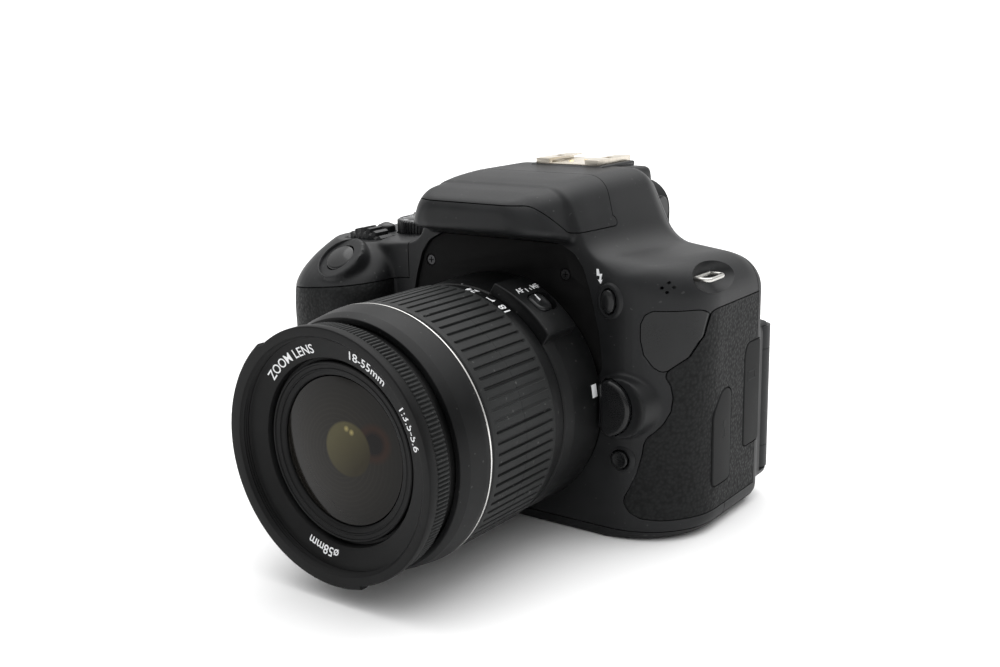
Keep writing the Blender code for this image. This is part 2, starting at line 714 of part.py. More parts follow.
# name: (face centre, outward direction, radii across and up, how proud, how deep)
BUTTONS = {
    "shutter_button": ((-53.0, -7.0, 71.6), (-0.16, -0.62, 0.768), (4.7, 4.7), 1.0, 4.5),
    "iso_button": ((-56.8, 18.2, 77.3), (0, 0, 1), (2.9, 2.9), 1.2, 4.0),
    "flash_button": ((35.7, FRONT_Y, 66.8), (0, -1, 0), (2.0, 3.2), 1.2, 4.2),
    "preview_button": ((38.9, 1.0, 23.3), (0, -1, 0), (2.5, 2.5), 0.9, 4.2),
    "menu_button": ((41.0, BACK_Y, 61.4), (0, 1, 0), (3.6, 2.1), 0.8, 4.0),
    "info_button": ((29.4, BACK_Y, 61.4), (0, 1, 0), (3.6, 2.1), 0.8, 4.0),
    "live_view_button": ((-25.6, BACK_Y, 68.0), (0, 1, 0), (3.0, 3.0), 0.9, 4.0),
    "exposure_button": ((-38.2, 54.6, 57.0), (0, 1, 0), (3.4, 2.5), 0.8, 4.0),
    "cross_pad": ((-50.0, 54.6, 31.4), (0, 1, 0), (11.2, 11.2), 1.2, 4.0),
    "set_button": ((-50.0, 54.6, 31.4), (0, 1, 0), (4.6, 4.6), 1.5, 4.0),
    "play_button": ((-38.8, 54.6, 12.0), (0, 1, 0), (3.2, 2.1), 0.8, 4.0),
    "erase_button": ((-52.0, 54.6, 12.0), (0, 1, 0), (3.2, 2.1), 0.8, 4.0),
    "lock_button": ((-55.6, 54.6, 68.6), (0, 1, 0), (2.9, 2.1), 0.8, 4.0),
    "focus_point_button": ((-65.8, 54.6, 68.6), (0, 1, 0), (2.9, 2.1), 0.8, 4.0),
}


def oval(name, centre, direction, radii, low, high, group, steps=16):
    """An elliptical plug from low to high along direction, measured from centre."""
    made = cylinder(name, (0, 0, 0), (0, 0, 1), 1.0, high - low, group, steps)
    place = Matrix.Translation((Vector(centre) + Vector(direction).normalized() * low) * MM)
    spin = facing(direction)
    across_is_sideways = abs(spin.col[0].x) > 0.5
    if abs(direction[2]) < 0.5 and not across_is_sideways:
        spin = spin @ Matrix.Rotation(math.pi / 2, 4, "Z")
    made.data.transform(place @ spin @ Matrix.Diagonal((*radii, 1.0, 1.0)))
    return made


def button_holes():
    found = []
    for name, (centre, direction, radii, _, _) in BUTTONS.items():
        if name == "set_button":
            continue
        grown_radii = (radii[0] + GAP, radii[1] + GAP)
        found.append(oval("hole", centre, direction, grown_radii, -7.0, 6.0, CUTTERS))
    found.append(plate("hole", release_outline(GAP), -12.0, 6.5, CUTTERS))
    x, y, z = TIMER_LAMP
    found.append(cylinder("hole", (x, y - 7.0, z), (0, 1, 0), TIMER_LAMP_RADIUS + GAP, 9.0, CUTTERS, 16))
    return found


def release_outline(grow):
    """The D shape of the release button: straight on the lens side."""
    x, z = 35.0 - grow, RELEASE[1]
    radius = RELEASE_RADIUS + grow
    return arc((36.0, z), radius, -78, 78, 14) + [(x, z + 7.0 + grow), (x, z - 7.0 - grow)]


def opening_holes():
    """Holes for the dials, doors, screen and eyepiece."""
    low, high = SCREEN_LOW, SCREEN_HIGH
    return [
        cylinder(
            "hole", (MAIN_DIAL[0], MAIN_DIAL[1] - MAIN_DIAL_HALF - GAP, MAIN_DIAL[2]), (0, 1, 0),
            MAIN_DIAL_RADIUS + GAP, 2 * (MAIN_DIAL_HALF + GAP), CUTTERS, 40),
        cylinder("hole", MODE_DIAL, (0, 0, 1), MODE_RADIUS + GAP, 12, CUTTERS, 32),
        cylinder("hole", POWER, (0, 0, 1), POWER_RADIUS + GAP, 12, CUTTERS, 20),
        region_box((low[0] - GAP, SCREEN_Y[0] - GAP, low[1] - GAP), (FAR, 70, high[1] + GAP)),
        region_box((-11.6, 40.0, 73.4), (11.6, 70.0, 86.6)),
        region_box((-80.0, 31.0, 19.0), (-70.0, 44.4, 56.0)),
        card_door_region(GAP),
        cylinder("hole", (DIOPTER[0] - 2.3, *DIOPTER[1:]), (1, 0, 0), 4.6, 5.4, CUTTERS, 20),
    ]


def card_door_region(grow):
    return region_box((-80.0, 29.4 - grow, 16.0 - grow), (-73.9 + grow, 47.0 + grow, 59.0 + grow))


def battery_door_region(grow):
    return region_box((-69.0 - grow, -3.6 - grow, -1.0), (-46.0 + grow, 29.0 + grow, 5.0))


def body_parts():
    """Plates, doors and metalwork on the body's outside."""
    front_plate = keep_inside(
        copy_of(arch_region(0.0), "front_plate", CAMERA),
        region_box((-FAR, PLATE_Y, 0), (FAR, PLATE_BACK_Y, 80.7)))
    throat = cylinder("throat", (0, -2, AXIS_Z), (0, 1, 0), THROAT_RADIUS, 12, CUTTERS, 48)
    finish(cut(front_plate, throat), "shell_plastic")
    flange = [(24.5, -4.0), (26.5, -4.0), (26.5, -1.3), (32.5, -1.3), (32.5, 0.0), (24.5, 0.0)]
    finish(turned("mount_ring", flange, CAMERA), "bright_metal")

    for name, corners in PORTS.items():
        outline = filleted(corners, 3)
        finish(plate(name, outline, PORT_IN_X, PORT_OUT_X, CAMERA, "X"), "rubber_skin")
    finish(box("card_door", (-75.6, 29.4, 16.0), (-74.0, 47.0, 59.0), CAMERA, 0.5), "shell_plastic")
    finish(box("battery_door", (-69.0, -3.6, 0.15), (-46.0, 29.0, 2.4), CAMERA, 0.4), "shell_plastic")
    finish(turned("tripod_socket", [
        (3.15, 0.15), (SOCKET_RADIUS, 0.15), (SOCKET_RADIUS, 3.2), (8.5, 3.2), (8.5, 9.0), (0.0, 9.0),
        (0.0, 7.4), (3.15, 7.4)], CAMERA, 32, (0, SOCKET_Y, 0), (0, 0, 1)), "bright_metal")

    shoe = box("hot_shoe", (-10.9, 35.6, 97.8), (10.9, 54.4, 99.5), CAMERA)
    shoe = cut(
        shoe, region_box((-9.4, 37.4, 98.2), (9.4, 60.0, 99.0)),
        region_box((-6.3, 30.0, 98.2), (6.3, 60.0, 102.0)))
    finish(shoe, "bright_metal")

    for side, name in ((1, "strap_loop_left"), (-1, "strap_loop_right")):
        curve = bpy.data.curves.new(name, "CURVE")
        curve.dimensions = "3D"
        curve.bevel_depth = 1.0 * MM
        curve.bevel_resolution = 1
        x, y, z = STRAPS[side]
        out = STRAP_REACH
        path = [
            (0, -4.7), (out - 1.2, -4.9), (out - 0.3, -4.5), (out, -3.5), (out, 3.5), (out - 0.3, 4.5),
            (out - 1.2, 4.9), (0, 4.7)]
        spline = curve.splines.new("POLY")
        spline.points.add(len(path) - 1)
        for point, (across, along) in zip(spline.points, path):
            point.co = ((x + side * across) * MM, (y + along) * MM, z * MM, 1)
        spline.use_cyclic_u = True
        finish(evaluated(keep_object(name, curve, CAMERA), name, CAMERA), "bright_metal")


def lamp_and_buttons():
    finish(box("flash_lamp", (-15.0, -9.8, 86.8), (15.0, -4.6, 91.2), CAMERA, 0.6), "clear_window")
    for name, (centre, direction, radii, proud, deep) in BUTTONS.items():
        button = oval(name, centre, direction, radii, -deep, proud, CAMERA)
        if name == "cross_pad":
            hole = oval("hole", centre, direction, (4.9, 4.9), -9.0, 6.0, CUTTERS)
            button = cut(button, hole)
        finish(rounded(button, 0.45), "button_plastic")
    release = plate("release_button", release_outline(0.0), -3.6, 2.2, CAMERA)
    finish(rounded(release, 0.8, 2), "button_plastic")
    lamp = cylinder("timer_lamp", TIMER_LAMP, (0, -1, 0), TIMER_LAMP_RADIUS, 2.6, CAMERA, 16)
    finish(lamp, "screen_glass")

    dial = turned("main_dial", toothed_rim(MAIN_DIAL_RADIUS, MAIN_DIAL_HALF), CAMERA, 36, MAIN_DIAL, (0, 1, 0))
    finish(dial, "button_plastic")
    finish(turned("mode_dial", [
        (0.0, 1.0), (MODE_RADIUS, 1.0), (MODE_RADIUS, 4.8), (MODE_RADIUS - 0.8, 5.5), (0.0, 5.5)],
        CAMERA, 40, MODE_DIAL, (0, 0, 1)), "button_plastic")
    x, y, z = POWER
    power = cylinder("power_lever", (x, y, z + 0.6), (0, 0, 1), POWER_RADIUS, 2.6, CAMERA, 24)
    tab = box("tab", (x - 1.2, y - 7.2, 78.1), (x + 1.2, y, 79.6), CUTTERS, 0.3)
    core = cylinder("core", (x, y, 77.0), (0, 0, 1), POWER_RADIUS - 0.4, 2.6, CUTTERS, 24)
    finish(join(power, core, tab), "button_plastic")
    knob = turned("diopter_knob", toothed_rim(4.2, 1.7), CAMERA, 24, DIOPTER, (1, 0, 0))
    finish(knob, "button_plastic")


def toothed_rim(radius, half):
    """Profile of a wheel, chamfered at both edges."""
    chamfer = 0.5
    return [
        (0.0, -half), (radius - chamfer, -half), (radius, chamfer - half), (radius, half - chamfer),
        (radius - chamfer, half), (0.0, half)]


def back_parts():
    low, high = SCREEN_LOW, SCREEN_HIGH
    x, y = SCREEN_PIVOT
    height = high[1] - low[1] - 0.4
    column = cylinder("screen_hinge", (x, y, low[1] + 0.2), (0, 0, 1), COLUMN_RADIUS, height, CAMERA, 24)
    finish(column, "shell_plastic")
    near, far = SCREEN_Y
    panel = box("screen_panel", (low[0], near, low[1]), (high[0], far, high[1]), CAMERA, 0.8, 2)
    glass_low, glass_high = (low[0] + 3.4, low[1] + 2.0), (high[0] - 3.4, high[1] - 2.0)
    panel = cut(panel, region_box(
        (glass_low[0] - GAP, SCREEN_Y[0] - 1, glass_low[1] - GAP),
        (glass_high[0] + GAP, SCREEN_Y[0] + 1.5, glass_high[1] + GAP)))
    finish(panel, "shell_plastic")
    finish(box(
        "screen_glass", (glass_low[0], SCREEN_Y[0] + 0.1, glass_low[1]),
        (glass_high[0], SCREEN_Y[0] + 1.2, glass_high[1]), CAMERA), "screen_glass")

    eyecup = plate("eyecup", filleted([
        (-18.6, 69.4, 7.0), (18.6, 69.4, 7.0), (18.6, 91.4, 9.0), (-18.6, 91.4, 9.0)], 4), 58.6, 66.6, CAMERA)
    eyecup = rounded(eyecup, 1.6, 2, 60)
    window = filleted([
        (-11.6, 73.4, 3.0), (11.6, 73.4, 3.0), (11.6, 86.8, 3.0), (-11.6, 86.8, 3.0)], 4)
    eyecup = cut(eyecup, plate("hole", window, 50.0, 70.0, CUTTERS))
    finish(eyecup, "grip_rubber")


def inner_parts():
    """What light and power pass through inside the body."""
    mirror_box = cut(
        box("mirror_box", (-26.5, 4.4, 11.5), (26.5, 33.0, 55.4), CAMERA),
        cylinder("throat", (0, 2.0, AXIS_Z), (0, 1, 0), 23.6, 6, CUTTERS, 32),
        region_box((-20.5, 6.5, 15.0), (20.5, 30.6, 53.6)),
        region_box((-14.0, 9.0, 50.0), (14.0, 28.6, 60.0)),
        region_box((-18.5, 28.0, 25.0), (18.5, 40.0, 50.4)))
    finish(mirror_box, "shell_plastic")
    reach = 16.6
    back, top = MIRROR_HINGE[1], MIRROR_HINGE[2]
    lean = 0.5                 # half the mirror's thickness, resolved along Y and Z
    section = [
        (back - lean, top + lean), (back - reach - lean, top - reach + lean),
        (back - reach + lean, top - reach - lean), (back + lean, top - lean)]
    finish(plate("mirror", section, -17.6, 17.6, CAMERA, "X"), "bright_metal")
    section = [(7.6, 55.8), (30.0, 55.8), (37.0, 65.0), (35.0, 80.6), (16.0, 81.4), (7.6, 71.0)]
    finish(plate("pentamirror", section, -15.5, 15.5, CAMERA, "X"), "optical_glass")
    finish(box("eyepiece_lens", (-11.0, 54.0, 74.0), (11.0, 56.4, 86.0), CAMERA, 0.8), "optical_glass")
    finish(cut(
        box("shutter_unit", (-24.0, 33.3, 20.0), (24.0, 37.6, 56.0), CAMERA),
        region_box((-12.4, 30.0, 29.6), (12.4, 40.0, 46.0))), "dark_metal")
    finish(cut(
        box("main_board", (-30.0, 38.4, 7.0), (46.0, 39.9, 60.0), CAMERA),
        region_box((-17.5, 36.0, 24.0), (17.5, 42.0, 52.0))), "circuit_board")
    finish(box("image_sensor", (-15.0, 44.0, 27.4), (15.0, 46.6, 48.2), CAMERA, 0.3), "optical_glass")
    finish(box("battery", (-66.4, -2.6, 3.4), (-50.4, 27.4, 56.0), CAMERA, 1.0), "battery_case")


def lens_parts():
    tip = LENS_FRONT
    barrel = turned("lens_barrel", [
        (22.0, -4.0), (24.1, -4.0), (24.1, 0.3), (33.9, 0.3), (33.5, 14.0), (33.0, 17.2), (30.2, 17.2),
        (30.2, 48.4), (28.6, 48.4), (28.6, 8.0), (22.0, 8.0)], CAMERA, LENS_STEPS)
    outline = arc((0, AXIS_Z), 36.4, 39, 69, 6) + arc((0, AXIS_Z), 31.4, 73, 35, 4)
    switch_box = rounded(plate("switch_box", outline, -17.2, -4.0, CUTTERS), 0.6)
    pocket = switch_block("pocket", (3.4, 4.6), 34.2, 40.0, CUTTERS, SLOT_Y)
    finish(cut(join(barrel, switch_box), pocket), "lens_plastic")
    switch = switch_block("af_switch", (3.0, 3.1), 34.6, 37.4, CAMERA, SWITCH_Y)
    finish(rounded(switch, 0.4), "button_plastic")
    shell = [
        (30.6, 17.6), (33.0, 17.6), (33.0, 22.0), (32.2, 22.0), (32.2, 49.6), (34.2, 49.6), (34.2, 52.0),
        (33.3, 58.0), (32.3, 60.6), (30.9, 60.6), (30.9, 50.0), (30.6, 50.0)]
    finish(turned("zoom_ring", shell, CAMERA, LENS_STEPS), "lens_plastic")
    sleeve = [(32.5, 22.3), (33.8, 22.3), (33.8, 49.3), (32.5, 49.3)]
    finish(turned("zoom_rubber", sleeve, CAMERA, LENS_STEPS), "grip_rubber")
    tube = [(26.4, 14.0), (28.2, 14.0), (28.2, 51.4), (30.5, 51.4), (30.5, 63.2), (26.4, 63.2)]
    finish(turned("front_barrel", tube, CAMERA, LENS_STEPS), "lens_plastic")
    band = [(29.4, 63.6), (32.0, 63.6), (32.0, 68.5), (29.4, 68.5)]
    finish(turned("focus_ring", band, CAMERA, LENS_STEPS), "lens_plastic")
    finish(turned("front_bezel", [
        (19.2, 60.0), (26.0, 60.0), (26.0, 63.6), (29.1, 63.6), (29.1, 68.8), (33.0, 68.8), (33.4, 69.4),
        (33.4, tip - 0.4), (33.0, tip), (29.8, tip), (29.3, 69.6), (29.3, 68.9), (23.6, 67.5), (22.7, 66.9),
        (19.7, 66.2), (19.2, 65.7)], CAMERA, LENS_STEPS), "lens_plastic")
    element = [(0.0, 60.2), (17.0, 61.2), (18.9, 62.2), (18.9, 65.5), (14.0, 66.3), (8.0, 67.0), (0.0, 67.3)]
    finish(turned("front_lens", element, CAMERA, 48), "optical_glass")


def switch_block(name, half, low, high, group, middle):
    """A block on the lens's side at SWITCH_ANGLE: half sizes around the barrel and along it."""
    made = box(name, (-half[0], -half[1], low), (half[0], half[1], high), group)
    turn = Matrix.Rotation(math.radians(90.0 - SWITCH_ANGLE), 4, "Y")
    made.data.transform(Matrix.Translation(Vector((0, middle, AXIS_Z)) * MM) @ turn)
    return made


PIVOTS = {
    "flash_lid": LID_HINGE,
    "flash_lamp": LID_HINGE,
    "mirror": MIRROR_HINGE,
    "screen_hinge": (*SCREEN_PIVOT, 30.0),
    "screen_panel": (*SCREEN_PIVOT, 30.0),
    "screen_glass": (*SCREEN_PIVOT, 30.0),
    "mic_port_cover": (PORT_OUT_X, 29.6, 26.5),
    "video_port_cover": (PORT_OUT_X, 47.9, 34.6),
    "card_door": (-75.6, 47.0, 37.5),
    "battery_door": (-46.0, 11.2, 0.15),
    "main_dial": MAIN_DIAL,
    "mode_dial": MODE_DIAL,
    "power_lever": POWER,
    "diopter_knob": DIOPTER,
    "release_button": (38.6, BOSS_FRONT_Y, RELEASE[1]),
    "zoom_ring": (0, 0, AXIS_Z),
    "zoom_rubber": (0, 0, AXIS_Z),
    "front_barrel": (0, 0, AXIS_Z),
    "focus_ring": (0, 0, AXIS_Z),
    "front_bezel": (0, 0, AXIS_Z),
    "front_lens": (0, 0, AXIS_Z),
    **{name: centre for name, (centre, *_) in BUTTONS.items()},
}


def settle():
    """Moves the model back onto its origin and puts each moving piece's origin on its joint."""
    for piece in CAMERA.objects:
        pivot = Vector(PIVOTS.get(piece.name, (0, SEAT_Y, 0)))
        piece.data.transform(Matrix.Translation(-pivot * MM))
        piece.location = (pivot - Vector((0, SEAT_Y, 0))) * MM


def main():
    global CUTTERS, CAMERA
    clear_scene()
    CAMERA = collection("dslr_camera")
    CUTTERS = collection("cutters", hidden=True)
    covers()
    body_parts()
    lamp_and_buttons()
    back_parts()
    inner_parts()
    lens_parts()
    settle()


main()
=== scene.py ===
"""Looks for the DSLR camera with a zoom lens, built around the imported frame.

Shapes are drawn in millimetres from the lens mount's front face, the lens axis and the
base, with +X towards the port covers and +Y back along the lens. TO_WORLD carries them to
the frame, whose origin lies SEAT_Y behind the mount's face.
"""

import math

import bmesh
import bpy
from mathutils import Matrix, Vector


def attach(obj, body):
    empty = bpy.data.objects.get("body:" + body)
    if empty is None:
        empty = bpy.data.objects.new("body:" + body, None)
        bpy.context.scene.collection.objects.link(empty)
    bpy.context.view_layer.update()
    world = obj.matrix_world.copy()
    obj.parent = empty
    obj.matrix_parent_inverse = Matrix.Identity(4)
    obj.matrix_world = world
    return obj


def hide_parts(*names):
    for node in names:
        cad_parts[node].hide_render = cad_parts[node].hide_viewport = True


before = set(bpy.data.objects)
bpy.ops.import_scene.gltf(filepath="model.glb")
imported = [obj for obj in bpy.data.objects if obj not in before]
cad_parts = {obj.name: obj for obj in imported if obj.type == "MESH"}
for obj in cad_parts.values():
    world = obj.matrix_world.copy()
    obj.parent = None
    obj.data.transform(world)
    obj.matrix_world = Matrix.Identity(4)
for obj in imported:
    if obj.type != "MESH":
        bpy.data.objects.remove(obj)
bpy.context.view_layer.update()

MM = 0.001
SEAT_Y = 12.0
AXIS_Z = 37.8
TO_WORLD = Matrix.Diagonal((MM, MM, MM, 1.0)) @ Matrix.Translation((0.0, -SEAT_Y, 0.0))
GAP = 0.28                     # width of a seam between covers
FAR = 150.0                    # reach of cutters that pass the whole body


# ---------------------------------------------------------------- mesh helpers

def new_object(name, data):
    made = bpy.data.objects.new(name, data)
    bpy.context.scene.collection.objects.link(made)
    return made


def cleaned(obj, merge=None, dissolve=False):
    """obj with points closer than merge joined, and its normals made to face outwards."""
    bm = bmesh.new()
    bm.from_mesh(obj.data)
    if merge:
        bmesh.ops.remove_doubles(bm, verts=bm.verts, dist=merge)
    if dissolve:
        bmesh.ops.dissolve_degenerate(bm, edges=bm.edges, dist=merge)
    bmesh.ops.recalc_face_normals(bm, faces=bm.faces)
    bm.to_mesh(obj.data)
    bm.free()
    return obj


def from_points(name, points, faces):
    """An object from points in millimetres."""
    mesh = bpy.data.meshes.new(name)
    mesh.from_pydata([tuple(TO_WORLD @ Vector(p)) for p in points], [], faces)
    return cleaned(new_object(name, mesh))


def tube_faces(count, size):
    """Faces of count rings of size points each, the last ring joined to the first."""
    faces = []
    for i in range(count):
        j = (i + 1) % count
        for k in range(size):
            m = (k + 1) % size
            faces.append((i * size + k, j * size + k, j * size + m, i * size + m))
    return faces


def shade(obj, angle=32):
    obj.data.shade_smooth()
    obj.data.set_sharp_from_angle(angle=math.radians(angle))
    return obj


def applied(obj):
    """obj with its modifiers made real."""
    graph = bpy.context.evaluated_depsgraph_get()
    mesh = bpy.data.meshes.new_from_object(obj.evaluated_get(graph))
    mesh.transform(obj.matrix_world)
    old = obj.data
    obj.modifiers.clear()
    if obj.type != "MESH":
        name = obj.name
        bpy.data.objects.remove(obj, do_unlink=True)
        return new_object(name, mesh)
    obj.data = mesh
    obj.matrix_world = Matrix.Identity(4)
    bpy.data.meshes.remove(old)
    return obj


def boolean(obj, cutter, operation, keep_cutter=False):
    step = obj.modifiers.new("boolean", "BOOLEAN")
    step.operation = operation
    step.solver = "MANIFOLD"
    step.object = cutter
    obj = applied(obj)
    if not keep_cutter:
        bpy.data.objects.remove(cutter, do_unlink=True)
    return obj


def cut(obj, *cutters):
    for cutter in cutters:
        obj = boolean(obj, cutter, "DIFFERENCE")
    return obj


def copy_of(obj, name):
    return new_object(name, obj.data.copy())


def bevelled(obj, width, steps=3, angle=30):
    step = obj.modifiers.new("bevel", "BEVEL")
    step.width = width * MM
    step.segments = steps
    step.limit_method = "ANGLE"
    step.angle_limit = math.radians(angle)
    return applied(obj)


def swept(name, ring_at, angles, centre=(0, 0, AXIS_Z), direction=(0, -1, 0)):
    """A body of revolution whose (radius, height) profile may vary with the angle.

    Angle 0 points to +X and grows towards +Z when direction is -Y.
    """
    turn = Vector(direction).to_track_quat("Z", "Y").to_matrix()
    if tuple(direction) == (0, -1, 0):
        turn = Matrix(((1, 0, 0), (0, 0, -1), (0, 1, 0)))
    rings = [ring_at(a) for a in angles]
    centre = Vector(centre)
    points = [
        centre + turn @ Vector((r * math.cos(a), r * math.sin(a), h))
        for a, ring in zip(angles, rings) for r, h in ring]
    made = from_points(name, points, tube_faces(len(angles), len(rings[0])))
    return cleaned(made, 1e-7, True)


def even_angles(count):
    return [2 * math.pi * i / count for i in range(count)]


def filleted(corners, steps):
    """A closed outline whose corners (u, v, radius) are rounded."""
    points = []
    count = len(corners)
    for i, (u, v, radius) in enumerate(corners):
        here = Vector((u, v))
        back = Vector(corners[i - 1][:2]) - here
        ahead = Vector(corners[(i + 1) % count][:2]) - here
        if radius <= 0:
            points.append((u, v))
            continue
        angle = max(0.05, min(math.pi - 0.02, back.angle(ahead)))
        reach = min(radius / math.tan(angle / 2), back.length * 0.49, ahead.length * 0.49)
        radius = reach * math.tan(angle / 2)
        first, last = here + back.normalized() * reach, here + ahead.normalized() * reach
        halfway = (back.normalized() + ahead.normalized()).normalized()
        middle = here + halfway * (radius / math.sin(angle / 2))
        start, end = first - middle, last - middle
        turn = start.angle_signed(end)
        for k in range(steps + 1):
            a = -turn * k / steps
            points.append((
                middle.x + start.x * math.cos(a) - start.y * math.sin(a),
                middle.y + start.x * math.sin(a) + start.y * math.cos(a)))
    return points


def turned(name, corners, steps=192, fillet_steps=4, **more):
    """A body of revolution from a profile of (radius, height, corner radius)."""
    ring = filleted([(*c, 0.0) if len(c) == 2 else c for c in corners], fillet_steps)
    return shade(swept(name, lambda a: ring, even_angles(steps), **more))


def shrunk(corners, amount):
    """The corners of an anticlockwise polygon moved in by amount, radii adjusted."""
    moved = []
    count = len(corners)
    for i, (u, v, radius) in enumerate(corners):
        here = Vector((u, v))
        one = (here - Vector(corners[i - 1][:2])).normalized()
        two = (Vector(corners[(i + 1) % count][:2]) - here).normalized()
        inward = (Vector((-one.y, one.x)) + Vector((-two.y, two.x))).normalized()
        across = max(0.3, inward.dot(Vector((-one.y, one.x))))
        convex = one.cross(two) > 0
        moved.append((
            u + inward.x * amount / across, v + inward.y * amount / across,
            max(0.3, radius - amount) if convex else radius + amount))
    return moved


def grown(outline, amount):
    area = sum(a[0] * b[1] - b[0] * a[1] for a, b in zip(outline, outline[1:] + outline[:1]))
    corners = [(u, v, 0.0) for u, v in (outline if area > 0 else outline[::-1])]
    return [(u, v) for u, v, _ in shrunk(corners, -amount)]


def rounded(low_u, low_v, high_u, high_v, radius, steps):
    return filleted(
        [(low_u, low_v, radius), (high_u, low_v, radius), (high_u, high_v, radius),
        (low_u, high_v, radius)], steps)


PLACES = {
    "X": lambda u, v, w: (w, u, v),
    "Y": lambda u, v, w: (u, w, v),
    "Z": lambda u, v, w: (u, v, w),
}


def prism(name, outline, start, end, axis="Y"):
    """A flat outline, (x, z), (y, z) or (x, y), given thickness along axis Y, X or Z."""
    place = PLACES[axis]
    count = len(outline)
    points = [place(u, v, start) for u, v in outline] + [place(u, v, end) for u, v in outline]
    faces = [tuple(range(count)), tuple(range(2 * count - 1, count - 1, -1))]
    faces += [(i, (i + 1) % count, count + (i + 1) % count, count + i) for i in range(count)]
    return from_points(name, points, faces)


def block(name, low, high):
    outline = [(low[0], low[1]), (high[0], low[1]), (high[0], high[1]), (low[0], high[1])]
    return prism(name, outline, low[2], high[2], "Z")


def rod(name, base, direction, radius, height, steps=32, top_radius=None):
    top = radius if top_radius is None else top_radius
    ring = [(0.0, 0.0), (radius, 0.0), (top, height), (0.0, height)]
    return swept(name, lambda a: ring, even_angles(steps), base, direction)


# ---------------------------------------------------------------- materials

def nodes_of(name):
    """A new material, its node tree, its shader and its object coordinates."""
    made = bpy.data.materials.new(name)
    made.use_nodes = True
    tree = made.node_tree
    coords = add(tree, "ShaderNodeTexCoord").outputs["Object"]
    return made, tree, tree.nodes["Principled BSDF"], coords


def surface(tree, shader, tone, gloss):
    tree.links.new(tone, shader.inputs["Base Color"])
    tree.links.new(gloss, shader.inputs["Roughness"])


def blotches(tree, value, low, high, amount, one, two):
    """Colour one turning to two, as far as amount, where value goes from low to high."""
    return mixed(tree, spread(tree, value, low, high, 0.0, amount), one, two)


def times(colour, factor, lift=0.0):
    return tuple(min(1.0, c * factor + lift) for c in colour)


def add(tree, kind, **settings):
    node = tree.nodes.new(kind)
    for key, value in settings.items():
        if key in node.inputs:
            node.inputs[key].default_value = value
        else:
            setattr(node, key, value)
    return node


def noise(tree, coords, scale, detail=2.0, roughness=0.5):
    made = add(tree, "ShaderNodeTexNoise")
    made.inputs["Scale"].default_value = scale
    made.inputs["Detail"].default_value = detail
    made.inputs["Roughness"].default_value = roughness
    tree.links.new(coords, made.inputs["Vector"])
    return made.outputs["Fac"]


def spread(tree, value, low, high, to_low, to_high):
    made = add(tree, "ShaderNodeMapRange")
    for key, number in (("From Min", low), ("From Max", high), ("To Min", to_low),
            ("To Max", to_high)):
        made.inputs[key].default_value = number
    tree.links.new(value, made.inputs["Value"])
    return made.outputs["Result"]


def mixed(tree, factor, one, two):
    made = add(tree, "ShaderNodeMix", data_type="RGBA")
    for socket, value in ((made.inputs[6], one), (made.inputs[7], two)):
        if isinstance(value, tuple):
            socket.default_value = (*value, 1.0)
        else:
            tree.links.new(value, socket)
    tree.links.new(factor, made.inputs[0])
    return made.outputs[2]


def maths(tree, operation, *values):
    made = add(tree, "ShaderNodeMath", operation=operation)
    for socket, value in zip(made.inputs, values):
        if isinstance(value, (int, float)):
            socket.default_value = value
        else:
            tree.links.new(value, socket)
    return made.outputs[0]


def bump(tree, shader, height, distance):
    made = add(tree, "ShaderNodeBump")
    made.inputs["Strength"].default_value = 1.0
    made.inputs["Distance"].default_value = distance * MM
    tree.links.new(height, made.inputs["Height"])
    tree.links.new(made.outputs["Normal"], shader.inputs["Normal"])


DUST_COLOUR = (0.45, 0.45, 0.44)


def moulded(name, colour, roughness, grain=0.0, grain_size=0.35, specular=0.5, dust=0.0, wear=0.25):
    """Moulded plastic: fine spark-eroded grain, uneven gloss, paler handled edges, faint dust."""
    made, tree, shader, coords = nodes_of(name)
    broad = noise(tree, coords, 55.0, 3.0)
    fine = noise(tree, coords, 1000.0 / grain_size, 2.0, 0.6)
    tone = blotches(tree, broad, 0.35, 0.65, 1.0, colour, times(colour, 1.35, 0.004))
    if wear:
        edge = add(tree, "ShaderNodeNewGeometry").outputs["Pointiness"]
        tone = blotches(tree, edge, 0.53, 0.62, wear, tone, times(colour, 2.6, 0.02))
    if dust:
        tone = blotches(tree, noise(tree, coords, 900.0, 0.0), 0.80, 0.84, dust, tone, DUST_COLOUR)
    gloss = maths(tree, "ADD", spread(tree, broad, 0.3, 0.7, roughness - 0.05, roughness + 0.05),
                  spread(tree, fine, 0.3, 0.7, -0.03, 0.03))
    surface(tree, shader, tone, gloss)
    shader.inputs["Specular IOR Level"].default_value = specular
    if grain:
        bump(tree, shader, fine, grain)
    return made


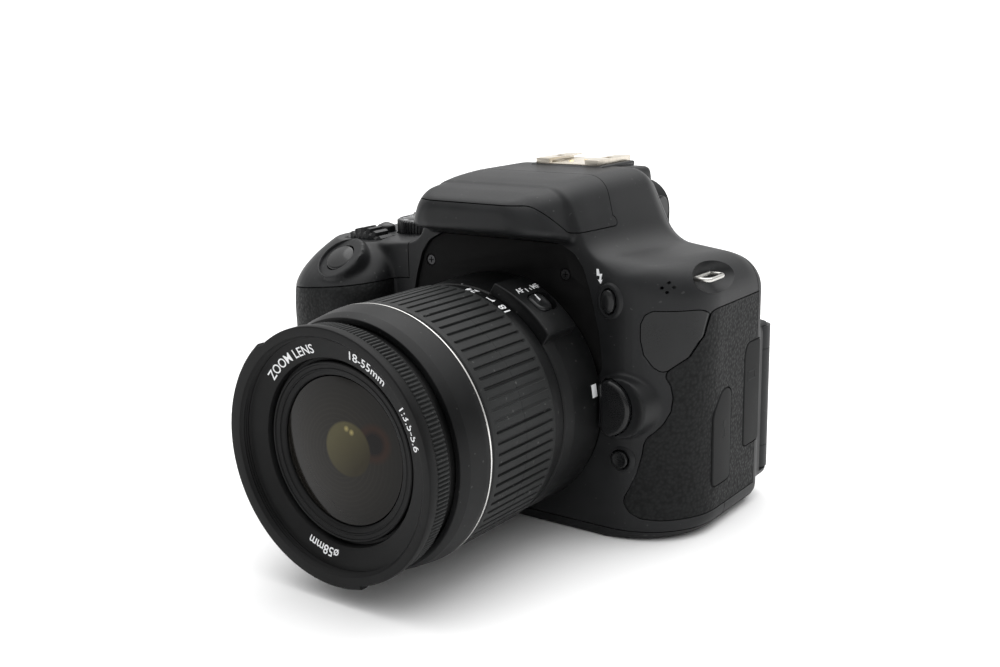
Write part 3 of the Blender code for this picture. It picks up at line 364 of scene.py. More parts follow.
def leathery(name, colour, roughness, size=0.9, depth=0.09, specular=0.5):
    """Rubber skin with a pebbled, leather-like relief, and painted shade darkening the hollows
    between the pebbles.
    """
    made, tree, shader, coords = nodes_of(name)
    wobble = add(tree, "ShaderNodeVectorMath", operation="MULTIPLY_ADD")
    warp = add(tree, "ShaderNodeTexNoise")
    warp.inputs["Scale"].default_value = 900.0 / size
    tree.links.new(coords, warp.inputs["Vector"])
    tree.links.new(warp.outputs["Color"], wobble.inputs[0])
    wobble.inputs[1].default_value = (0.35 * size * MM,) * 3
    tree.links.new(coords, wobble.inputs[2])
    cells = add(tree, "ShaderNodeTexVoronoi", feature="SMOOTH_F1")
    cells.inputs["Scale"].default_value = 1000.0 / size
    cells.inputs["Smoothness"].default_value = 0.55
    tree.links.new(wobble.outputs[0], cells.inputs["Vector"])
    pebble = cells.outputs["Distance"]
    fine = noise(tree, coords, 5200.0, 2.0)
    height = maths(tree, "ADD", maths(tree, "MULTIPLY", pebble, -1.0),
        maths(tree, "MULTIPLY", fine, 0.25))
    broad = noise(tree, coords, 60.0, 3.0)
    tone = blotches(tree, broad, 0.35, 0.65, 1.0, colour, times(colour, 1.25))
    # Painted shade: colour darkened where the relief sinks between the pebbles.
    tone = blotches(tree, pebble, 0.25, 0.75, 0.65, tone, times(colour, 0.35))
    surface(tree, shader, tone, spread(tree, pebble, 0.1, 0.8, roughness - 0.08, roughness + 0.12))
    shader.inputs["Specular IOR Level"].default_value = specular
    bump(tree, shader, height, depth)
    return made


def metal(name, colour, roughness, brushed=0.0):
    made, tree, shader, coords = nodes_of(name)
    scuffs = noise(tree, coords, 700.0, 4.0, 0.6)
    broad = noise(tree, coords, 120.0, 2.0)
    surface(tree, shader, blotches(tree, broad, 0.3, 0.7, 1.0, colour, times(colour, 0.86)),
            spread(tree, scuffs, 0.3, 0.7, roughness - 0.06, roughness + 0.08))
    shader.inputs["Metallic"].default_value = 1.0
    if brushed:
        bump(tree, shader, scuffs, brushed)
    return made


def painted(name, colour, roughness=0.6):
    """Printed marks: slightly worn paint."""
    made, tree, shader, coords = nodes_of(name)
    worn = noise(tree, coords, 1800.0, 3.0)
    surface(tree, shader, blotches(tree, worn, 0.62, 0.75, 0.35, colour, times(colour, 0.7)),
            spread(tree, worn, 0.3, 0.7, roughness - 0.05, roughness + 0.05))
    return made


def glassy(name, colour, roughness, coat, tint=None):
    """Dark coated glass, opaque enough to hold its own colour."""
    made, tree, shader, coords = nodes_of(name)
    smear = noise(tree, coords, 90.0, 3.0)
    surface(tree, shader, blotches(tree, smear, 0.4, 0.7, 0.5, colour, tint or colour),
            spread(tree, smear, 0.3, 0.8, roughness, roughness + 0.03))
    shader.inputs["Coat Weight"].default_value = coat
    return made


COVER = moulded("cover_plastic", (0.0058, 0.0062, 0.0068), 0.46, grain=0.012, grain_size=0.28,
    specular=0.24, dust=0.05)
PLATE = moulded("plate_plastic", (0.0024, 0.0024, 0.0025), 0.62, grain=0.010, grain_size=0.3,
    specular=0.10)
LENS = moulded("lens_plastic", (0.0034, 0.0036, 0.0038), 0.42, grain=0.009, grain_size=0.25,
    specular=0.16, dust=0.06)
LENS_MATT = moulded("lens_matt", (0.0022, 0.0023, 0.0024), 0.50, grain=0.008, grain_size=0.25,
    specular=0.15)
RING_RUBBER = moulded("ring_rubber", (0.0085, 0.0092, 0.0092), 0.58, grain=0.02, grain_size=0.22,
    specular=0.26, dust=0.10, wear=0.3)
BUTTON = moulded("button_plastic", (0.0060, 0.0063, 0.0068), 0.30, grain=0.003, grain_size=0.3,
    specular=0.30)
GLOSS = moulded("gloss_plastic", (0.0050, 0.0052, 0.0056), 0.16, specular=0.35, wear=0.15)
RUBBER = leathery("leathery_rubber", (0.0062, 0.0067, 0.0069), 0.58, depth=0.12, specular=0.18)
SOFT_RUBBER = moulded("soft_rubber", (0.0046, 0.0049, 0.0051), 0.62, grain=0.015, grain_size=0.3,
    specular=0.16)
SILVER = metal("silver_trim", (0.78, 0.77, 0.75), 0.22)
STEEL = metal("steel", (0.62, 0.61, 0.58), 0.30, brushed=0.004)
WHITE = painted("white_print", (0.78, 0.79, 0.80))


def dress(obj, material, body="body", slot=None, nodes=()):
    """Gives a piece its material, its body and the CAD nodes it stands for."""
    obj.data.materials.clear()
    obj.data.materials.append(material)
    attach(obj, body)
    if nodes:
        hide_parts(*nodes)
    return obj


# ---------------------------------------------------------------- lens

def groove_wave(a, pitch, half, slope):
    """1 in the middle of a groove, 0 on a rib, by distance along the circle."""
    off = abs((a / pitch + 0.5) % 1.0 - 0.5) * pitch
    return max(0.0, min(1.0, (half + slope - off) / slope))


def rib_angles(count, radius, half, slope, extra=1):
    """Angles that put an edge loop at each corner of each groove."""
    pitch = 2 * math.pi / count
    marks = [-(half + slope) / radius, -half / radius, half / radius, (half + slope) / radius]
    rest = pitch - marks[3] + marks[0]
    marks += [marks[3] + rest * (i + 1) / (extra + 1) for i in range(extra)]
    return [i * pitch + m for i in range(count) for m in marks]


RIBS = 78
RIB_HALF, RIB_SLOPE, RIB_DEPTH = 0.27, 0.2, 0.66
SMOOTH_BAND = (math.radians(9), math.radians(27))


def zoom_rubber():
    """The rubber sleeve: raised bars between narrow grooves, and one nearly plain band."""
    radius = 33.8

    def ring_at(a):
        angle = (a + math.pi) % (2 * math.pi) - math.pi
        wave = groove_wave(a * radius, 2 * math.pi * radius / RIBS, RIB_HALF, RIB_SLOPE)
        depth = RIB_DEPTH
        if SMOOTH_BAND[0] < angle < SMOOTH_BAND[1]:
            depth = 0.3
        dip = radius - depth * wave
        return [
            (32.5, 22.4), (33.45, 22.4), (33.72, 22.6), (radius, 22.95), (radius, 23.5),
            (dip, 24.1), (dip, 35.4), (dip - 0.07, 35.5), (dip - 0.07, 35.62), (dip, 35.72),
            (dip, 46.9), (radius, 47.5), (radius, 48.6), (33.7, 48.95), (33.45, 49.2), (32.5, 49.2)]

    made = swept("zoom_sleeve", ring_at, rib_angles(RIBS, radius, RIB_HALF, RIB_SLOPE))
    return dress(shade(made, 24), RING_RUBBER, "zoom", "grip_rubber", ["zoom_rubber"])


def zoom_ring():
    made = turned("zoom_shell", [
        (30.6, 17.6, 0.1), (32.95, 17.6, 0.25), (32.95, 22.2, 0.15), (32.25, 22.2), (32.25, 49.5),
        (33.75, 49.5, 0.15), (33.95, 50.3, 0.1), (33.6, 50.35), (33.6, 51.05), (34.15, 51.1, 0.15),
        (34.05, 52.6, 0.4), (33.3, 57.9, 0.5), (32.35, 60.6, 0.3), (30.9, 60.6, 0.1), (30.9, 50.0),
        (30.6, 50.0)])
    dress(made, LENS, "zoom", "lens_plastic", ["zoom_ring"])
    trim = turned("trim_ring", [(33.5, 50.42), (34.12, 50.42, 0.12), (34.16, 50.98, 0.12),
        (33.5, 50.98)])
    dress(trim, SILVER, "zoom", "bright_metal")


def front_barrel():
    made = turned("inner_barrel", [
        (26.4, 14.0), (28.2, 14.0), (28.2, 51.4), (30.4, 51.4), (30.4, 61.8, 0.2),
        (30.0, 62.4, 0.2), (30.4, 62.6, 0.1), (30.4, 63.2, 0.1), (26.4, 63.2)])
    dress(made, LENS_MATT, "inner_barrel", "lens_plastic", ["front_barrel"])


FOCUS_RIBS = 180


def focus_ring():
    """The narrow ring of fine upright ribs."""
    radius = 32.0

    def ring_at(a):
        wave = groove_wave(a * radius, 2 * math.pi * radius / FOCUS_RIBS, 0.06, 0.36)
        dip = radius - 0.55 * wave
        return [
            (29.4, 63.6), (31.2, 63.6), (31.45, 63.75), (dip - 0.15, 64.0), (dip, 64.3),
            (dip, 67.9), (dip - 0.15, 68.2), (31.4, 68.4), (31.2, 68.5), (29.4, 68.5)]

    made = swept("focus_grip", ring_at, rib_angles(FOCUS_RIBS, radius, 0.06, 0.36, 0))
    return dress(shade(made, 30), RING_RUBBER, "focus", "lens_plastic", ["focus_ring"])


RIM_RADIUS = 32.5              # front rim where there is no hood lug
LUG_RADIUS = 33.4
THREAD_TURNS, THREAD_PITCH = 3, 0.75
LUGS = ((math.radians(130), math.radians(286)),)


def front_bezel():
    """Front rim with the hood lug, filter thread, name ring and the stepped inner rings."""
    tip = 71.7

    def ring_at(a):
        angle = a % (2 * math.pi)
        on_lug = any(start <= angle <= end for start, end in LUGS)
        out = LUG_RADIUS if on_lug else RIM_RADIUS
        thread = []
        for turn in range(THREAD_TURNS):
            h = tip - 0.6 - turn * THREAD_PITCH
            thread += [(29.75, h), (29.4, h - 0.3), (29.75, h - 0.6)]
        return [
            (19.25, 60.0), (26.0, 60.0), (26.0, 63.6), (29.1, 63.6), (29.1, 68.75),
            (out - 0.6, 68.75), (out - 0.15, 68.95), (out, 69.4), (out, tip - 0.55),
            (out - 0.12, tip - 0.2), (out - 0.45, tip), (30.5, tip), (30.15, tip - 0.08),
            (29.95, tip - 0.35), *thread, (29.35, 69.1), (29.1, 68.92), (28.6, 68.82), (24.4, 67.8),
            (24.0, 67.6), (23.8, 67.1), (23.7, 65.6), (23.0, 65.5), (22.85, 66.75), (22.6, 66.95),
            (22.25, 66.9), (22.1, 66.6), (21.2, 66.5), (21.0, 66.65), (20.75, 66.6), (20.6, 66.3),
            (19.75, 66.15), (19.45, 66.0), (19.25, 65.7)]

    angles = sorted(even_angles(256) + [edge + d for lug in LUGS for edge in lug
        for d in (-0.002, 0.002)])
    made = swept("front_rim", ring_at, angles)
    dress(shade(made, 28), LENS_MATT, "focus", "lens_plastic", ["front_bezel"])


def from_axis(tree, coords):
    """Distance from the lens's axis, and place across and up from it, in millimetres."""
    parts = add(tree, "ShaderNodeSeparateXYZ")
    tree.links.new(coords, parts.inputs[0])
    across = maths(tree, "MULTIPLY", parts.outputs["X"], 1000.0)
    rise = maths(tree, "MULTIPLY_ADD", parts.outputs["Z"], 1000.0, -AXIS_Z)
    square = maths(tree, "MULTIPLY_ADD", across, across, maths(tree, "MULTIPLY", rise, rise))
    return maths(tree, "SQRT", square), across, rise


def round_spot(tree, across, rise, middle, inside, outside):
    """1 within a disc facing the front, fading to 0 at its edge."""
    u = maths(tree, "SUBTRACT", across, middle[0])
    v = maths(tree, "SUBTRACT", rise, middle[1])
    reach = maths(tree, "SQRT", maths(tree, "MULTIPLY_ADD", u, u, maths(tree, "MULTIPLY", v, v)))
    return spread(tree, reach, inside, outside, 1.0, 0.0)


def dome_profile(radius, rim, rise, steps):
    radii = [radius * (steps - i) / steps for i in range(steps + 1)]
    return [(r, rim + rise * (1 - (r / radius) ** 2)) for r in radii]


def glass_front():
    """The front element, opaque, its colour painted light: the lit olive pupil and a dark reddish
    one as painted reflections of the inner elements, small painted highlights, faint painted rings
    and painted shade towards the rim.
    """
    profile = [(0.0, 64.9), (18.6, 64.3), (18.9, 64.5)] + dome_profile(18.9, 65.5, 1.8, 24)
    made = swept("front_element", lambda a: profile, even_angles(128))
    coated, tree, shader, coords = nodes_of("front_painted_view")
    reach, across, rise = from_axis(tree, coords)
    # Faint painted rings stand for the inner barrel's steps seen through the glass; painted shade
    # darkens the glass towards the rim.
    rings = maths(tree, "SINE", maths(tree, "MULTIPLY", reach, 5.2))
    tone = blotches(tree, rings, 0.2, 1.0, 1.0, (0.0120, 0.0106, 0.0088), (0.0150, 0.0134, 0.0112))
    tone = blotches(tree, reach, 11.0, 18.0, 0.7, tone, (0.0070, 0.0066, 0.0060))
    # Painted light on the olive reflection: brighter to the upper left, darker to the lower right.
    lit = blotches(tree, maths(tree, "SUBTRACT", across, rise), -6.0, 9.0, 1.0,
        (0.062, 0.055, 0.026), (0.021, 0.017, 0.008))
    # Painted reflections, a reddish ring round a dark middle and the olive pupil, and small painted
    # highlights.
    spots = [
        (PAINTED_RED_REFLECTION, 4.0, 5.4, (0.020, 0.0095, 0.0060)),
        (PAINTED_RED_REFLECTION, 2.2, 3.6, (0.004, 0.003, 0.003)), (PAINTED_OLIVE_REFLECTION, 6.6, 7.2, lit)]
    spots += [(glint, 0.1, 0.9, (0.26, 0.22, 0.09)) for glint in GLINTS]
    for middle, inside, outside, colour in spots:
        tone = mixed(tree, round_spot(tree, across, rise, middle, inside, outside), tone, colour)
    tree.links.new(tone, shader.inputs["Base Color"])
    shader.inputs["Roughness"].default_value = 0.08
    shader.inputs["Specular IOR Level"].default_value = 0.14
    dress(shade(made), coated, "focus", "optical_glass", ["front_lens"])


# Centres of the painted reflections and painted highlights, in mm across and up from the lens's
# axis.
PAINTED_OLIVE_REFLECTION, PAINTED_RED_REFLECTION = (3.0, 1.5), (11.0, 4.1)
GLINTS = ((2.8, 6.7), (4.4, 6.0))

zoom_rubber()
zoom_ring()
front_barrel()
focus_ring()
front_bezel()
glass_front()


# ---------------------------------------------------------------- body forms

LEFT_X, RIGHT_X = 57.6, -75.2
FRONT_Y, BACK_Y = 0.6, 50.0
CORNER_DEPTH, CORNER_START_X = 21.4, 36.0
RIGHT_CORNER_DEPTH, RIGHT_CORNER_X = 14.0, -40.0
DECK_Z, DECK_FALL = 77.5, 2.5
BACK_EDGE = 3.0                # rounding of the body's back edge
EYEPIECE_HALF = 17.8
BASE_THICK = 2.6
WALL = 2.6
SKIN = 1.1
FLOOR_INSET = 1.4              # of the back's blocks under the seams
REST_Y = 54.6                  # face of the thumb rest
SIDE_SEAM_Y, SHOULDER_SEAM_Z = 27.3, 62.0
TOP_BACK_SEAM_Y = 45.6
DECK_SEAM_X = -33.3
SCREEN_LOW, SCREEN_HIGH = (-27.2, 8.4), (48.9, 52.0)
SCREEN_Y = (51.0, 58.6)
SCREEN_HINGE = (53.2, 55.1)
RELEASE = (38.6, 38.4)
LID_BACK_Y = 33.0
WELL_FLOOR_Z = 83.9

# y, shoulder corner z and radius, hump foot x and z, hump top edge x and z
HUMP_TABLE = [
    (0.6, 71.5, 6.0, 28.6, 79.6, 21.6, 96.2),
    (8.0, 74.6, 9.0, 29.6, 79.0, 22.4, 97.0),
    (20.0, 76.0, 11.0, 31.0, 78.2, 23.0, 97.5),
    (40.0, 74.6, 10.0, 31.6, 77.6, 22.8, 97.5),
    (50.0, 71.5, 9.0, 30.0, 75.6, 20.5, 95.0),
]
# y, half width at the nose's underside, half width at its top edge, top z, underside z
NOSE_TABLE = [
    (-14.6, 14.5, 12.5, 90.8, 86.0),
    (-13.6, 18.6, 15.6, 92.8, 84.8),
    (-11.0, 21.4, 18.0, 94.0, 84.3),
    (-6.0, 24.0, 20.0, 95.3, 83.2),
    (3.0, 26.0, 21.3, 95.9, 80.4),
]
# z, front y, outer front corner x, inner side x, outer corner radius
GRIP_TABLE = [
    (0.0, -9.6, -73.0, -42.0, 16.0),
    (2.5, -11.4, RIGHT_X, -39.8, 16.0),
    (30.0, -14.2, RIGHT_X, -39.4, 20.0),
    (55.0, -15.6, RIGHT_X, -39.6, 22.0),
    (62.5, -15.0, -75.0, -39.8, 22.0),
    (66.0, -13.0, -74.3, -40.2, 22.0),
    (70.0, -8.8, -72.6, -41.0, 22.0),
    (73.4, -4.6, -69.9, -42.0, 22.0),
    (75.9, -1.0, -67.2, -43.4, 21.0),
]


def between(table, at):
    """Row of values at a station, by monotone cubic interpolation of (station, values...)."""
    stations = [row[0] for row in table]
    if at <= stations[0]:
        return list(table[0][1:])
    if at >= stations[-1]:
        return list(table[-1][1:])
    k = max(i for i, s in enumerate(stations) if s <= at)
    width = stations[k + 1] - stations[k]
    t = (at - stations[k]) / width
    values = []
    for column in range(1, len(table[0])):
        slope = [
            (table[i + 1][column] - table[i][column]) / (stations[i + 1] - stations[i])
            for i in range(len(table) - 1)]

        def tangent(i):
            if i in (0, len(table) - 1):
                return slope[0] if i == 0 else slope[-1]
            before, after = slope[i - 1], slope[i]
            return 0.0 if before * after <= 0 else 2 * before * after / (before + after)

        a, b = table[k][column], table[k + 1][column]
        values.append(
            (2 * t**3 - 3 * t**2 + 1) * a + (t**3 - 2 * t**2 + t) * width * tangent(k)
            + (3 * t**2 - 2 * t**3) * b + (t**3 - t**2) * width * tangent(k + 1))
    return values


def loft(name, rings):
    count = len(rings[0])
    points = [p for ring in rings for p in ring]
    faces = [tuple(range(count)), tuple(range(len(points) - 1, len(points) - count - 1, -1))]
    for i in range(len(rings) - 1):
        for k in range(count):
            m = (k + 1) % count
            faces.append((i * count + k, i * count + m, (i + 1) * count + m, (i + 1) * count + k))
    return from_points(name, points, faces)


def steps_between(start, end, step):
    count = max(1, round((end - start) / step))
    return [start + (end - start) * i / count for i in range(count + 1)]


def corner_x(y):
    """The +X side's reach at y: an elliptical sweep from the front wall to the flank."""
    t = min(1.0, max(0.0, (y - FRONT_Y) / CORNER_DEPTH))
    return CORNER_START_X + (LEFT_X - CORNER_START_X) * math.sqrt(1 - (1 - t) ** 2)


def right_x(y):
    """The same on the -X side, where the grip hides the corner."""
    t = min(1.0, max(0.0, (y - FRONT_Y) / RIGHT_CORNER_DEPTH))
    return RIGHT_CORNER_X + (RIGHT_X - RIGHT_CORNER_X) * math.sqrt(1 - (1 - t) ** 2)


def body_corners(y):
    shoulder_z, shoulder_r, foot_x, foot_z, top_x, top_z = between(HUMP_TABLE, y)
    left, right = corner_x(y), right_x(y)
    foot_x = min(foot_x, left - 6.0)
    return [
        (right, 0.0, 5.0), (left, 0.0, 5.5), (left + 0.2, shoulder_z, shoulder_r),
        (foot_x, foot_z, 11.0), (top_x, top_z, 8.0), (-top_x, top_z, 8.0),
        (-foot_x - 0.4, DECK_Z, 7.0), (right, DECK_Z - DECK_FALL, 9.0)]


def body_form(name, inset, step, steps):
    rings = []
    front, back = FRONT_Y + inset, BACK_Y - inset
    stations = [front, front + 0.15, front + 0.4] + steps_between(front + 0.9, back - 3.0, step)
    stations += [back - 2.2, back - 1.4, back - 0.8, back - 0.3, back - 0.08, back]
    for y in stations:
        short = BACK_EDGE - (back - y)
        extra = 0.0 if short <= 0 else BACK_EDGE - math.sqrt(max(0.0, BACK_EDGE**2 - short**2))
        rings.append([(x, y, z) for x, z in filleted(shrunk(body_corners(y), inset + extra),
            steps)])
    return loft(name, rings)


def nose_form(name, inset, step, steps):
    rings = []
    for y in steps_between(NOSE_TABLE[0][0] + inset, NOSE_TABLE[-1][0], step):
        low, high, top, under = between(NOSE_TABLE, y)
        corners = [(-low, under, 1.6), (low, under, 1.6), (high, top, 6.5), (-high, top, 6.5)]
        rings.append([(x, y, z) for x, z in filleted(shrunk(corners, inset), steps)])
    return loft(name, rings)


def grip_form(name, inset, step, steps):
    rings = []
    for z in steps_between(inset, GRIP_TABLE[-1][0] - inset, step):
        front, outer, inner, radius = between(GRIP_TABLE, z)
        corners = [(outer, 26.0, 2.0), (outer, front, radius), (inner, front, 12.0),
            (inner + 2.0, 26.0, 2.0)]
        rings.append([(x, y, z) for x, y in filleted(shrunk(corners, inset), steps)])
    return loft(name, rings)


def union(obj, *others):
    for other in others:
        obj = boolean(obj, other, "UNION")
    return obj


def eyepiece_block(inset):
    outline = [
        (44.0, 64.0 + inset), (57.6 - inset, 64.0 + inset), (57.6 - inset, 85.0),
        (55.8 - inset, 96.4 - inset), (44.0, 97.2 - inset)]
    return bevelled(prism("eyepiece", outline, inset - EYEPIECE_HALF, EYEPIECE_HALF - inset, "X"),
        1.8)


def back_blocks(name, inset, fillet, edge):
    """The screen's surround and the thumb rest beside it."""
    start = BACK_Y - 6.0
    surround = block(name + "_surround", (SCREEN_LOW[0] - 3.2 + inset, start, 5.6 + inset),
                     (LEFT_X - 0.4 - inset, 57.6 - inset, 53.4 - inset))
    outer, inner, top = RIGHT_X + 1.4 + inset, -32.0 - inset, 73.0 - inset
    ledge = -39.9 - inset if inset else -40.0
    corners = [(outer, 5.0 + inset, 4.0), (inner, 5.0 + inset, 2.0), (inner, 66.0, 6.0),
        (ledge, top, 8.0), (outer, top, 9.0)]
    outline = filleted(corners, fillet) if fillet else [corner[:2] for corner in corners]
    rest = prism(name + "_rest", outline, start, REST_Y - inset)
    return bevelled(surround, edge), bevelled(rest, 2.0)


def outer_form():
    """The body's outer shape: lofts joined, then remeshed so that their joins blend softly."""
    made = body_form("form", 0.0, 1.0, 10)
    boss = rod("boss", (RELEASE[0] + 1.0, 12.0, RELEASE[1]), (0, -1, 0), 11.4, 13.9, 64,
        BOSS_TOP_RADIUS)
    centre, direction = BUTTONS["shutter_button"][:2]
    foot = Vector(centre) - Vector(direction) * PLATFORM_DEPTH
    platform = rod("platform", foot, direction, 8.8, PLATFORM_DEPTH + 0.5, 96, PLATFORM_TOP_RADIUS)
    made = union(made, grip_form("grip", 0.0, 1.2, 10), nose_form("nose", 0.0, 0.8, 8), boss,
                 *back_blocks("outer", 0.0, 6, 2.6), eyepiece_block(0.0), platform)
    blend = made.modifiers.new("blend", "REMESH")
    blend.mode = "VOXEL"
    blend.voxel_size = VOXEL * MM
    made = applied(made)
    soften = made.modifiers.new("soften", "SMOOTH")
    soften.factor = 0.5
    soften.iterations = SOFTEN_ROUNDS
    return applied(made)


BOSS_TOP_RADIUS = 8.2
PLATFORM_DEPTH, PLATFORM_TOP_RADIUS = 6.0, 8.2
VOXEL = 0.55
SOFTEN_ROUNDS = 6


def inner_form():
    """The hollow inside the covers."""
    made = union(
        body_form("hollow", WALL, 4.0, 3), grip_form("hollow_grip", WALL, 4.0, 3),
        nose_form("hollow_nose", WALL, 3.0, 3),
        eyepiece_block(WALL))
    return cut(made, block("roof", (-FAR, -FAR, WELL_FLOOR_Z - 2.0), (FAR, LID_BACK_Y + 3.0, FAR)))


# ---------------------------------------------------------------- covers and skins

# Rubber boundary on the front left corner, as x and z in a front view
SIDE_RUBBER_EDGE = [
    (60.0, 63.9), (57.4, 63.9), (56.6, 57.0), (54.6, 51.8), (49.7, 47.7), (51.2, 44.6),
    (51.7, 41.0), (51.3, 37.1), (49.7, 33.6), (47.8, 31.4), (46.2, 30.1), (45.4, 28.2),
    (45.0, 25.2), (43.6, 19.4), (41.8, 15.4), (40.4, 12.7), (40.1, 10.9), (41.8, 8.3), (44.6, 6.9),
    (49.1, 6.4), (60.0, 6.4)]
BADGE_EDGE = [
    (57.0, 64.2), (47.2, 64.7), (45.4, 63.6), (44.4, 61.1), (44.4, 57.0), (45.2, 53.0),
    (47.4, 49.7), (49.6, 48.0), (54.2, 51.9), (56.2, 57.0)]
THUMB_RUBBER_EDGE = [(-78.0, 47.0), (-62.0, 47.0), (-57.0, 52.0), (-57.0, 64.0), (-78.0, 64.0)]
ARCH_BOTTOM_RADIUS = (33.4, 32.9)
ARCH = [
    (33.8, 45.0), (32.2, 58.0), (29.8, 68.0), (27.6, 74.6), (24.8, 78.4), (20.0, 80.9),
    (-20.0, 80.9), (-24.8, 78.4), (-27.6, 74.6), (-29.8, 68.0), (-32.2, 58.0), (-33.8, 45.0)]
SKIN_LOW_Z, GRIP_SKIN_X, GRIP_SKIN_BACK, SKIN_TOP_DROP = 5.0, -39.2, 27.0, 0.35
PLATE_Y, PLATE_BACK_Y = 1.6, 4.0
SOCKET_Y, SOCKET_RADIUS = 27.0, 6.4
TRIPOD_BORE, TRIPOD_PITCH = 3.15, 0.8
SHOE_FLOOR_Z = 98.2
STRAPS = {1: (53.6, 21.3, 71.4), -1: (-71.4, 30.0, 69.1)}
PORTS = {
    "mic_port_cover": [(18.8, 13.0, 2.0), (29.6, 13.0, 2.0), (29.6, 40.0, 5.0), (23.8, 40.0, 4.5),
    (18.8, 34.0, 5.0)],
    "video_port_cover": [(37.8, 19.4, 2.0), (47.9, 19.4, 1.0), (47.9, 49.8, 1.0), (39.2, 49.8, 3.0),
    (37.8, 46.4, 2.0)],
}
PORT_OUT_X, PORT_IN_X = 57.85, 56.5
LID_THICK = 2.2
LID_OUTLINE = [(-20.0, 92.6), (-10.6, 92.6), (-1.0, 84.4), (LID_BACK_Y, 84.4), (LID_BACK_Y, FAR),
    (-20.0, FAR)]
MAIN_DIAL, MAIN_DIAL_RADIUS, MAIN_DIAL_HALF = (-54.0, 7.4, 69.9), 9.5, 3.4
MODE_DIAL, MODE_RADIUS, MODE_TOP = (-43.6, 23.4, 75.2), 9.9, 5.5
MODE_CHANNEL = ((1.1, 0.0), (1.25, 0.1), (3.4, 0.1), (3.55, 0.0))  # in from the rim, and down
MODE_MARK_RADIUS = 7.45
POWER, POWER_RADIUS = (-57.5, 38.0, 75.4), 4.4
DIOPTER = (22.2, 51.0, 84.0)
TIMER_LAMP, LAMP_RADIUS = (-36.7, 3.0, 56.0), 2.1
FINDER_LOW, FINDER_HIGH = (-11.6, 73.4), (11.6, 86.6)
MICROPHONES, MICROPHONE_PITCH = (50.0, 70.9), 1.2
SPEAKER, SPEAKER_PITCH = (-42.0, 10.4), 1.6
LENS_ROOM_RADIUS = 34.2        # free of plastic in front of the mount

# name: (face centre, outward direction, radii across and up, how proud, how deep)
BUTTONS = {
    "shutter_button": ((-53.0, -7.0, 71.6), (-0.16, -0.62, 0.768), (4.7, 4.7), 1.0, 4.5),
    "iso_button": ((-56.8, 18.2, 77.3), (0, 0, 1), (2.9, 2.9), 1.2, 4.0),
    "flash_button": ((35.7, 0.6, 66.8), (0, -1, 0), (2.0, 3.2), 1.2, 4.2),
    "preview_button": ((38.9, 1.0, 23.3), (0, -1, 0), (2.5, 2.5), 0.9, 4.2),
    "menu_button": ((41.0, BACK_Y, 61.4), (0, 1, 0), (3.6, 2.1), 0.8, 4.0),
    "info_button": ((29.4, BACK_Y, 61.4), (0, 1, 0), (3.6, 2.1), 0.8, 4.0),
    "live_view_button": ((-25.6, BACK_Y, 68.0), (0, 1, 0), (3.0, 3.0), 0.9, 4.0),
    "exposure_button": ((-38.2, REST_Y, 57.0), (0, 1, 0), (3.4, 2.5), 0.8, 4.0),
    "cross_pad": ((-50.0, REST_Y, 31.4), (0, 1, 0), (11.2, 11.2), 1.2, 4.0),
    "set_button": ((-50.0, REST_Y, 31.4), (0, 1, 0), (4.6, 4.6), 1.5, 4.0),
    "play_button": ((-38.8, REST_Y, 12.0), (0, 1, 0), (3.2, 2.1), 0.8, 4.0),
    "erase_button": ((-52.0, REST_Y, 12.0), (0, 1, 0), (3.2, 2.1), 0.8, 4.0),
    "lock_button": ((-55.6, REST_Y, 68.6), (0, 1, 0), (2.9, 2.1), 0.8, 4.0),
    "focus_point_button": ((-65.8, REST_Y, 68.6), (0, 1, 0), (2.9, 2.1), 0.8, 4.0),
}


def arc(centre, radius, start, end, steps):
    across, up = radius if isinstance(radius, tuple) else (radius, radius)
    angles = [math.radians(start + (end - start) * i / steps) for i in range(steps + 1)]
    return [(centre[0] + across * math.cos(a), centre[1] + up * math.sin(a)) for a in angles]


def soft_corners(outline, radius):
    return filleted([(u, v, radius) for u, v in outline], 4)


def deck_seam(x):
    """Height of the seam around the grip's top, which rises towards the lens."""
    return 66.4 + (x + 35.4) * 0.117


def side_region(grow):
    return prism("side_region", grown(soft_corners(SIDE_RUBBER_EDGE, 3.0), grow), -4.0,
        TOP_BACK_SEAM_Y + grow)


def badge_region(grow):
    return prism("badge_region", grown(soft_corners(BADGE_EDGE, 1.6), grow), -4.0, 18.6 + grow)


def grip_region(grow):
    low, edge = SKIN_LOW_Z - grow, GRIP_SKIN_X + grow
    outline = [
        (-FAR, low), (edge, low), (edge, deck_seam(edge) - SKIN_TOP_DROP + grow),
        (-FAR, deck_seam(-FAR) - SKIN_TOP_DROP + grow)]
    return prism("grip_region", outline, -FAR, GRIP_SKIN_BACK + grow)


def thumb_region(grow):
    return prism("thumb_region", grown(soft_corners(THUMB_RUBBER_EDGE, 3.0), grow), 49.0, 60.0)


def port_block(corners, grow):
    return prism("port", filleted(shrunk(corners, -grow), 6), 50.0, 60.0, "X")


def release_outline(grow):
    """The D shape of the release button: straight on the lens side."""
    x, z = 35.0 - grow, RELEASE[1]
    return arc((36.0, z), 8.0 + grow, -78, 78, 40) + [(x, z + 7.0 + grow), (x, z - 7.0 - grow)]


def oval(name, centre, direction, radii, profile, steps=64):
    """A body with elliptical sections from (scale, height) pairs, along direction."""
    direction = Vector(direction).normalized()
    if abs(direction.z) > 0.5:
        across = Vector((1, 0, 0))
    else:
        across = direction.cross(Vector((0, 0, 1))).normalized()
    up = direction.cross(across).normalized()
    rings = []
    for scale, height in profile:
        middle = Vector(centre) + direction * height
        rings.append([
            middle + across * (radii[0] + scale) * math.cos(a)
            + up * (radii[1] + scale) * math.sin(a)
            for a in even_angles(steps)])
    return loft(name, rings)


def button_hole(name, grow):
    centre, direction, radii, _, _ = BUTTONS[name]
    return oval("hole", centre, direction, radii, [(grow, -7.0), (grow, 6.0)])


